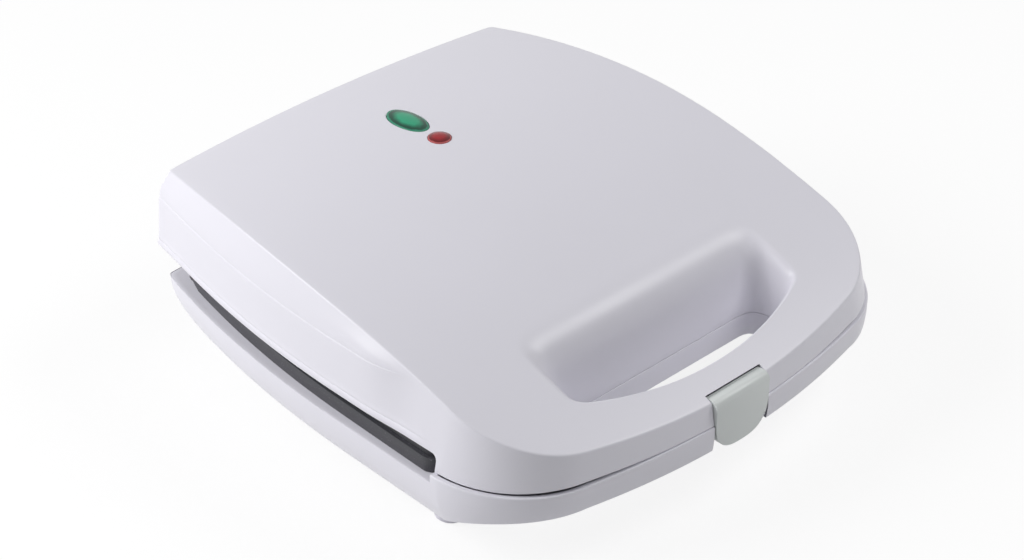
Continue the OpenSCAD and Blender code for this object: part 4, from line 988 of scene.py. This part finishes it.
def pocket_tools(level):
    """The eight triangular pockets, two for each sandwich. level turns a depth into a height."""
    tools = []
    mid, half_l = -(FIELD_REAR + FIELD_FRONT) / 2, (FIELD_FRONT - FIELD_REAR) / 2
    slope = POCKET_DRAFT / POCKET_H
    for sx in (-1, 1):
        for sy in (-1, 1):
            near, far = (0, mid), (sx * FIELD_HALF_W, mid + sy * half_l)
            for third in ((far[0], near[1]), (near[0], far[1])):
                triangle = (near, third, far)
                low = with_z(drawn_in(triangle, SEAM_W / 2 + POCKET_DRAFT), level(-POCKET_H))
                high = with_z(drawn_in(triangle, SEAM_W / 2 - slope * POCKET_OVER), level(POCKET_OVER))
                tools.append(prism("pocket", low.tolist(), high.tolist()))
    return tools


def cast_plate(name, face_z, up):
    """A cast plate: its slab with a skirt round the back, the thick field behind the pockets, the
    pockets and the sinks of the screws. up says that its face looks down, as the lid's does."""
    def level(height):
        return face_z + (-height if up else height)

    out_front = LID_RIM[1] - WALL - PLATE_CLEAR if up else PLATE_OUT[1]
    slab = prism_z(name, plate_plan(0, out_front), level(-PLATE_H), level(0))
    cut(slab, prism_z("hollow", plate_plan(PLATE_SKIRT, out_front), level(-PLATE_H - 1), level(-PLATE_T)))
    x, front, rear = FIELD_HALF_W + PLATE_T, -FIELD_FRONT - PLATE_T, -FIELD_REAR + PLATE_T
    field = prism_z("field", [(-x, front), (x, front), (x, rear), (-x, rear)],
                    level(-POCKET_H - PLATE_T), level(-PLATE_T / 2))
    for block in (slab, field):
        cut(block, join(pocket_tools(level)))
    sinks = [prism_z("sink", arc(x, y, SINK_R, 0, 350, 36), level(-SINK_DEEP), level(POCKET_OVER))
             for x, y in post_places()]
    cut(slab, join(sinks))
    bevel(slab, PLATE_EDGE_R, 2, 30)
    return join([slab, field])


# ---- Nodes ----------------------------------------------------------------------------------------

def node_tree(owner):
    owner.use_nodes = True
    tree = owner.node_tree
    tree.nodes.clear()
    return tree


def put(tree, socket, value):
    """Links another socket to an input, or gives the input a value of its own."""
    if isinstance(value, bpy.types.NodeSocket):
        tree.links.new(value, socket)
    else:
        socket.default_value = value


def add(tree, kind, *in_order, **by_name):
    """A node with its inputs filled in their order and by their names."""
    node = tree.nodes.new(kind)
    for socket, value in zip(node.inputs, in_order):
        put(tree, socket, value)
    for name, value in by_name.items():
        put(tree, node.inputs[name.replace("_", " ")], value)
    return node


def reckon(tree, operation, *values):
    """Result of a sum on numbers."""
    node = add(tree, "ShaderNodeMath", *values)
    node.operation = operation
    return node.outputs[0]


def reckon_vector(tree, operation, *values):
    node = add(tree, "ShaderNodeVectorMath", *values)
    node.operation = operation
    return node.outputs["Value" if operation == "LENGTH" else "Vector"]


def moved(tree, mesh, height):
    """A mesh raised by a height."""
    lift = add(tree, "ShaderNodeCombineXYZ", Z=height)
    return add(tree, "GeometryNodeTransform", Geometry=mesh, Translation=lift.outputs[0]).outputs[0]


def blend(tree, share, first, second):
    """A colour between two colours."""
    node = tree.nodes.new("ShaderNodeMix")
    node.data_type = "RGBA"
    for index, value in ((0, share), (6, first), (7, second)):
        put(tree, node.inputs[index], value)
    return node.outputs[2]


def colour_ramp(tree, value, stops):
    """Colours along a value, each stop a position and a colour."""
    node = add(tree, "ShaderNodeValToRGB", Fac=value)
    on_ramp = node.color_ramp.elements
    for end, (position, color) in zip(on_ramp, (stops[0], stops[-1])):
        end.position = position
        end.color = (*color, 1)
    for position, color in stops[1:-1]:
        on_ramp.new(position).color = (*color, 1)
    return node.outputs["Color"]


# ---- Plate screws ---------------------------------------------------------------------------------

SCREW_D = 3.5
HEAD_D = 6.6
HEAD_H = 2
SCREW_LEN = 14
HEAD_SUNK = 0.05
RECESS_L = 3.6
RECESS_W = 0.8
RECESS_DEEP = 1.3
SCREW_SEED = 4


def screw_tree(mat):
    """Countersunk screws with a cross recess, one on each point, its head's face at the point."""
    tree = bpy.data.node_groups.new("cross_screws", "GeometryNodeTree")
    inputs = {"Points": "Geometry", "Head radius": "Float", "Head height": "Float", "Shank radius": "Float",
              "Length": "Float", "Recess length": "Float", "Recess width": "Float", "Recess depth": "Float",
              "Turn": "Vector", "Seed": "Int"}
    for name, kind in inputs.items():
        tree.interface.new_socket(name, in_out="INPUT", socket_type="NodeSocket" + kind)
    tree.interface.new_socket("Screws", in_out="OUTPUT", socket_type="NodeSocketGeometry")
    given = add(tree, "NodeGroupInput").outputs
    head = add(tree, "GeometryNodeMeshCone", Vertices=40, Radius_Bottom=given["Shank radius"],
               Radius_Top=given["Head radius"], Depth=given["Head height"])
    shank = add(tree, "GeometryNodeMeshCylinder", Vertices=24, Radius=given["Shank radius"],
                Depth=given["Length"])
    sunk = moved(tree, head.outputs["Mesh"], reckon(tree, "MULTIPLY", given["Head height"], -1))
    recess = add(tree, "GeometryNodeMeshBoolean")
    recess.operation = "DIFFERENCE"
    recess.solver = "EXACT"
    put(tree, recess.inputs["Mesh 1"], sunk)
    long, wide = given["Recess length"], given["Recess width"]
    deep = reckon(tree, "MULTIPLY", given["Recess depth"], 2)
    for size in ((long, wide, deep), (wide, long, deep)):
        bar = add(tree, "GeometryNodeMeshCube", Size=add(tree, "ShaderNodeCombineXYZ", *size).outputs[0])
        put(tree, recess.inputs["Mesh 2"], bar.outputs["Mesh"])
    half = reckon(tree, "MULTIPLY", given["Length"], -0.5)
    drop = reckon(tree, "SUBTRACT", half, given["Head height"])
    screw = add(tree, "GeometryNodeJoinGeometry")
    for mesh in (recess.outputs["Mesh"], moved(tree, shank.outputs["Mesh"], drop)):
        put(tree, screw.inputs[0], mesh)
    spread = add(tree, "GeometryNodeInstanceOnPoints", Points=given["Points"], Instance=screw.outputs[0],
                 Rotation=given["Turn"])
    chance = add(tree, "FunctionNodeRandomValue", Seed=given["Seed"])
    turn = add(tree, "ShaderNodeCombineXYZ", Z=reckon(tree, "MULTIPLY", chance.outputs[1], math.pi))
    spin = add(tree, "GeometryNodeRotateInstances", Instances=spread.outputs[0], Rotation=turn.outputs[0])
    real = add(tree, "GeometryNodeRealizeInstances", spin.outputs[0])
    coat = add(tree, "GeometryNodeSetMaterial", Geometry=real.outputs[0], Material=mat)
    add(tree, "NodeGroupOutput", coat.outputs[0])
    return tree


def plate_screws(name, tree, face_z, up):
    """The four screws of a plate. up says that the heads face down and the screws go up."""
    points = [(x, y, face_z + (HEAD_SUNK if up else -HEAD_SUNK)) for x, y in post_places()]
    obj = mesh_object(name, points, [])
    mod = obj.modifiers.new("screws", "NODES")
    mod.node_group = tree
    sizes = {"Head radius": HEAD_D / 2, "Head height": HEAD_H, "Shank radius": SCREW_D / 2,
             "Length": SCREW_LEN - HEAD_H, "Recess length": RECESS_L, "Recess width": RECESS_W,
             "Recess depth": RECESS_DEEP}
    values = {size: length * MM for size, length in sizes.items()}
    values.update({"Turn": (math.pi if up else 0.0, 0.0, 0.0), "Seed": SCREW_SEED})
    for item in tree.interface.items_tree:
        if item.name in values:
            mod[item.identifier] = values[item.name]
    apply_modifiers(obj)
    return shade(obj, 30)


# ---- Camera, floor and light ----------------------------------------------------------------------

CAMERA_AT = Vector((-729.5, -755.1, 740.5)) * MM
CAMERA_TO = Vector((-52.5, -49.0, 94.3)) * MM
FOCAL_PX = 2610
IMAGE_W = 1024
SENSOR = 36.0
LAMPS_AIM = Vector((0, 0, 0.05))
FLOOR_HALF = 6
FLOOR_GLOW = 0.86
WORLD = 0.12
# Name, direction from the object, distance and diameter in metres, power in watts
LAMPS = (
    ("window", (-0.69, 0.52, 0.52), 1.5, 1.0, 18.5),
    ("fill", (0.58, -0.36, 0.73), 1.6, 0.7, 8.7),
    ("front", (0.0, -0.75, 0.66), 1.6, 1.2, 2.6),
)


def look(obj, at, towards):
    """Puts a camera or lamp at a place and turns it towards another."""
    obj.location = at
    obj.rotation_mode = "QUATERNION"
    obj.rotation_quaternion = (towards - obj.location).to_track_quat("-Z", "Y")


def add_camera():
    cam = bpy.data.cameras.new("camera")
    cam.sensor_width = SENSOR
    cam.lens = FOCAL_PX * SENSOR / IMAGE_W
    obj = link("camera", cam)
    look(obj, CAMERA_AT, CAMERA_TO)
    bpy.context.scene.camera = obj


def add_lamp(name, side, distance, diameter, power):
    """A soft round lamp on one side of the object, which it looks at."""
    data = bpy.data.lights.new(name, "AREA")
    data.shape = "DISK"
    data.size = diameter
    data.energy = power
    look(link(name, data), LAMPS_AIM + Vector(side).normalized() * distance, LAMPS_AIM)


def is_seen(tree):
    """1 on rays from the camera and on those that gloss or glass send back, else 0."""
    path = add(tree, "ShaderNodeLightPath").outputs
    seen = reckon(tree, "MAXIMUM", path["Is Camera Ray"], path["Is Glossy Ray"])
    return reckon(tree, "MAXIMUM", seen, path["Is Transmission Ray"])


def end_tree(tree, lit, seen, kind):
    """Ends a tree in one shader for what light meets and in another for what is seen."""
    mixer = add(tree, "ShaderNodeMixShader", is_seen(tree), lit.outputs[0], seen.outputs[0])
    add(tree, kind, mixer.outputs[0])


def add_world(strength):
    world = bpy.data.worlds.new("studio")
    bpy.context.scene.world = world
    tree = node_tree(world)
    light = add(tree, "ShaderNodeBackground", Color=(0.97, 0.98, 1, 1), Strength=strength)
    white_sky = add(tree, "ShaderNodeBackground", Color=(1, 1, 1, 1), Strength=1.0)
    end_tree(tree, light, white_sky, "ShaderNodeOutputWorld")


def add_floor():
    """A pale floor that is seen near to white and keeps the object's shadow."""
    mesh = bpy.data.meshes.new("floor")
    corners = [(x * FLOOR_HALF, y * FLOOR_HALF, 0) for x, y in ((-1, -1), (1, -1), (1, 1), (-1, 1))]
    mesh.from_pydata(corners, [], [(0, 1, 2, 3)])
    mat = bpy.data.materials.new("pale_floor")
    tree = node_tree(mat)
    plain = add(tree, "ShaderNodeBsdfDiffuse", Color=(0.8, 0.8, 0.8, 1))
    shadow = add(tree, "ShaderNodeBsdfDiffuse", Color=(0.16, 0.16, 0.16, 1))
    glow = add(tree, "ShaderNodeEmission", Color=(1, 1, 1, 1), Strength=FLOOR_GLOW)
    both = add(tree, "ShaderNodeAddShader", shadow.outputs[0], glow.outputs[0])
    end_tree(tree, plain, both, "ShaderNodeOutputMaterial")
    mesh.materials.append(mat)
    link("floor", mesh)


# ---- Materials ------------------------------------------------------------------------------------

def finish(name, color, roughness, metallic=0.0, grain=(2600, 0.1, 0.0001), drift=(14, 0.02, 0.03),
           stretch=(1, 1, 1), specks=None, **sockets):
    """A surface with a fine grain as bump and a slow drift of tone and gloss. grain is its scale,
    strength and depth, drift its scale, change of tone and change of roughness. stretch lengthens both
    along an axis, and specks are a colour and the share of the grain that shows it."""
    mat = bpy.data.materials.new(name)
    tree = node_tree(mat)
    coords = add(tree, "ShaderNodeTexCoord").outputs["Object"]
    turned = add(tree, "ShaderNodeMapping", Vector=coords, Scale=stretch).outputs[0]
    fine = add(tree, "ShaderNodeTexNoise", Vector=turned, Scale=grain[0], Detail=2, Roughness=0.6)
    slow = add(tree, "ShaderNodeTexNoise", Vector=turned, Scale=drift[0], Detail=3)
    fine, slow = fine.outputs["Fac"], slow.outputs["Fac"]
    bump = add(tree, "ShaderNodeBump", Strength=grain[1], Distance=grain[2], Height=fine)
    gloss = add(tree, "ShaderNodeMapRange", Value=slow, From_Min=0.3, From_Max=0.7,
                To_Min=max(roughness - drift[2], 0.02), To_Max=roughness + drift[2])
    dark, light = ((*(min(c * (1 + change), 1) for c in color), 1) for change in (-drift[1], drift[1]))
    shown = blend(tree, slow, dark, light)
    if specks:
        share = add(tree, "ShaderNodeMapRange", Value=fine, From_Min=specks[1], From_Max=specks[1] + 0.05)
        shown = blend(tree, share.outputs[0], shown, (*specks[0], 1))
    shader = add(tree, "ShaderNodeBsdfPrincipled", Base_Color=(*color, 1), Roughness=roughness,
                 Metallic=metallic, **sockets)
    varied = {"Base Color": shown, "Roughness": gloss.outputs[0], "Normal": bump.outputs[0]}
    for socket, value in varied.items():
        put(tree, shader.inputs[socket], value)
    add(tree, "ShaderNodeOutputMaterial", shader.outputs[0])
    return mat


def recolour(mat, shown):
    """Gives a finish another colour pattern."""
    tree = mat.node_tree
    shader = next(n for n in tree.nodes if n.type == "BSDF_PRINCIPLED")
    put(tree, shader.inputs["Base Color"], shown)
    return mat


def heated_tube():
    """Steel tube tinted straw, brown and blue by its own heat."""
    mat = finish("heated_tube", (0.2, 0.17, 0.15), 0.42, 1.0, (900, 0.1, 0.0001), (30, 0.1, 0.08))
    tree = mat.node_tree
    coords = add(tree, "ShaderNodeTexCoord").outputs["Object"]
    heat = add(tree, "ShaderNodeTexNoise", Vector=coords, Scale=22, Detail=3)
    stops = ((0, (0.13, 0.12, 0.12)), (0.55, (0.34, 0.24, 0.14)), (1, (0.24, 0.25, 0.33)))
    return recolour(mat, colour_ramp(tree, heat.outputs["Fac"], stops))


def lens_plastic(name, at, half_l, half_w, middle, deep, edge):
    """Clear tinted plastic: brightest in the middle, with painted shade in a dark ring where the wall turns down,
    and a light edge.
    """
    mat = finish(name, middle, 0.12, 0.0, (700, 0.05, 0.0001), (160, 0.1, 0.03), Specular_IOR_Level=0.3)
    tree = mat.node_tree
    coords = add(tree, "ShaderNodeTexCoord").outputs["Object"]
    centred = reckon_vector(tree, "SUBTRACT", coords, place((0, -at, dome(0, -at))).tolist())
    scaled = reckon_vector(tree, "DIVIDE", centred, (half_w * MM, half_l * MM, FAR * MM))
    cloud = add(tree, "ShaderNodeTexNoise", Vector=coords, Scale=420, Detail=2)
    reach = reckon(tree, "MULTIPLY_ADD", cloud.outputs["Fac"], 0.16, reckon_vector(tree, "LENGTH", scaled))
    # deep is painted shade: its dark ring stands for the shade where the lens's wall turns down.
    stops = ((0.55, middle), (0.84, deep), (0.95, deep), (1, edge))
    return recolour(mat, colour_ramp(tree, reach, stops))


def paint(obj, mat):
    obj.data.materials.clear()
    obj.data.materials.append(mat)


bpy.context.scene.view_settings.view_transform = "Standard"
add_camera()
add_world(WORLD)
add_floor()
for lamp in LAMPS:
    add_lamp(*lamp)

white = finish("white_plastic", (0.795, 0.783, 0.85), 0.37, 0.0, (2600, 0.16, 0.0001), (14, 0.012, 0.03))
FINISHES = {
    "base_plastic": white,
    "lid_plastic": white,
    "foot_rubber": finish("foot_plastic", (0.74, 0.72, 0.8), 0.5, grain=(1800, 0.1, 0.0001)),
    "plate_coating": finish("plate_coating", (0.042, 0.042, 0.05), 0.4, 0.0, (1500, 0.3, 0.0001),
                            (26, 0.15, 0.07), specks=((0.16, 0.16, 0.18), 0.66)),
    "steel": finish("zinc_steel", (0.58, 0.59, 0.6), 0.3, 1.0, (900, 0.15, 0.0001), (260, 0.12, 0.1)),
    "element_steel": heated_tube(),
    "ceramic": finish("bead_ceramic", (0.82, 0.78, 0.68), 0.75, 0.0, (1300, 0.4, 0.0002), (90, 0.06, 0.05)),
    "reflector": finish("rolled_sheet", (0.75, 0.75, 0.76), 0.2, 1.0, (500, 0.12, 0.0001), (40, 0.05, 0.08),
                        stretch=(12, 0.4, 1)),
    "phenolic": finish("phenolic", (0.19, 0.09, 0.05), 0.45, 0.0, (1200, 0.15, 0.0001), (150, 0.2, 0.08)),
    "ivory_plastic": finish("ivory_plastic", (0.76, 0.7, 0.56), 0.5, 0.0, (1600, 0.1, 0.0001),
                            (60, 0.04, 0.05)),
    "lamp_glass": finish("lamp_glass", (0.95, 0.55, 0.25), 0.06, 0.0, (300, 0.05, 0.0001), (90, 0.15, 0.03),
                         Transmission_Weight=0.7, IOR=1.45),
    # The second colour of each lens is the painted shade of its dark ring.
    "green_lens": lens_plastic("green_lens", *GREEN, (0.02, 0.36, 0.19), (0.003, 0.07, 0.04),
                               (0.03, 0.25, 0.15)),
    "red_lens": lens_plastic("red_lens", *RED, (0.36, 0.012, 0.02), (0.17, 0.006, 0.01), (0.5, 0.1, 0.1)),
    "latch_plastic": finish("latch_plastic", (0.72, 0.755, 0.745), 0.38, 0.0, (2200, 0.14, 0.0001),
                            (30, 0.015, 0.04)),
    "sleeve": finish("sleeve_rubber", (0.03, 0.03, 0.032), 0.65, 0.0, (1500, 0.2, 0.0001), (80, 0.15, 0.08)),
    "brass": finish("brass", (0.7, 0.5, 0.2), 0.28, 1.0, (900, 0.15, 0.0001), (200, 0.1, 0.1)),
    "wire_jacket": finish("silicone_jacket", (0.5, 0.06, 0.04), 0.55, 0.0, (1400, 0.12, 0.0001),
                          (120, 0.1, 0.08)),
}


def make_piece(obj, body, slot, *nodes):
    paint(obj, FINISHES[slot])
    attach(obj, body)
    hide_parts(*nodes)
    return obj


def lid_shell():
    shell = lid_skin()
    for at in (GREEN, RED):
        cut(shell, window_tool(*at), 30)
    cut(shell, notch_tool(), 30)
    return join([shell, lid_catch(), lid_bulkhead()] + lid_inner())


def base_shell():
    shell = cut(cut(base_skin(), bush_tool(), 30), notch_tool(), 30)
    return join([shell, base_catch(), base_bulkhead()] + base_inner())


# Every CAD node gets its finish. The pieces made below then take the place of some of them.
for part in frame["record"]["subparts"]:
    paint(NODES[part["node"]], FINISHES[part["material_slot"]])

make_piece(lid_shell(), "lid", "lid_plastic", "lid_cover")
make_piece(base_shell(), "base", "base_plastic", "base_cover")
make_piece(latch_clip(), "latch", "latch_plastic", "latch")
for color, size in (("green", GREEN), ("red", RED)):
    make_piece(lens(color + "_lens_dome", *size), "lid", color + "_lens", color + "_lens")
screws = screw_tree(FINISHES["steel"])
for side, body, face_z, up in (("lower", "base", PLATE_LOW_Z, False), ("upper", "lid", PLATE_UP_Z, True)):
    make_piece(cast_plate(side + "_cast_plate", face_z, up), body, "plate_coating", side + "_plate")
    heads = plate_screws(side + "_cross_screws", screws, face_z, up)
    make_piece(heads, body, "steel", side + "_plate_screws")
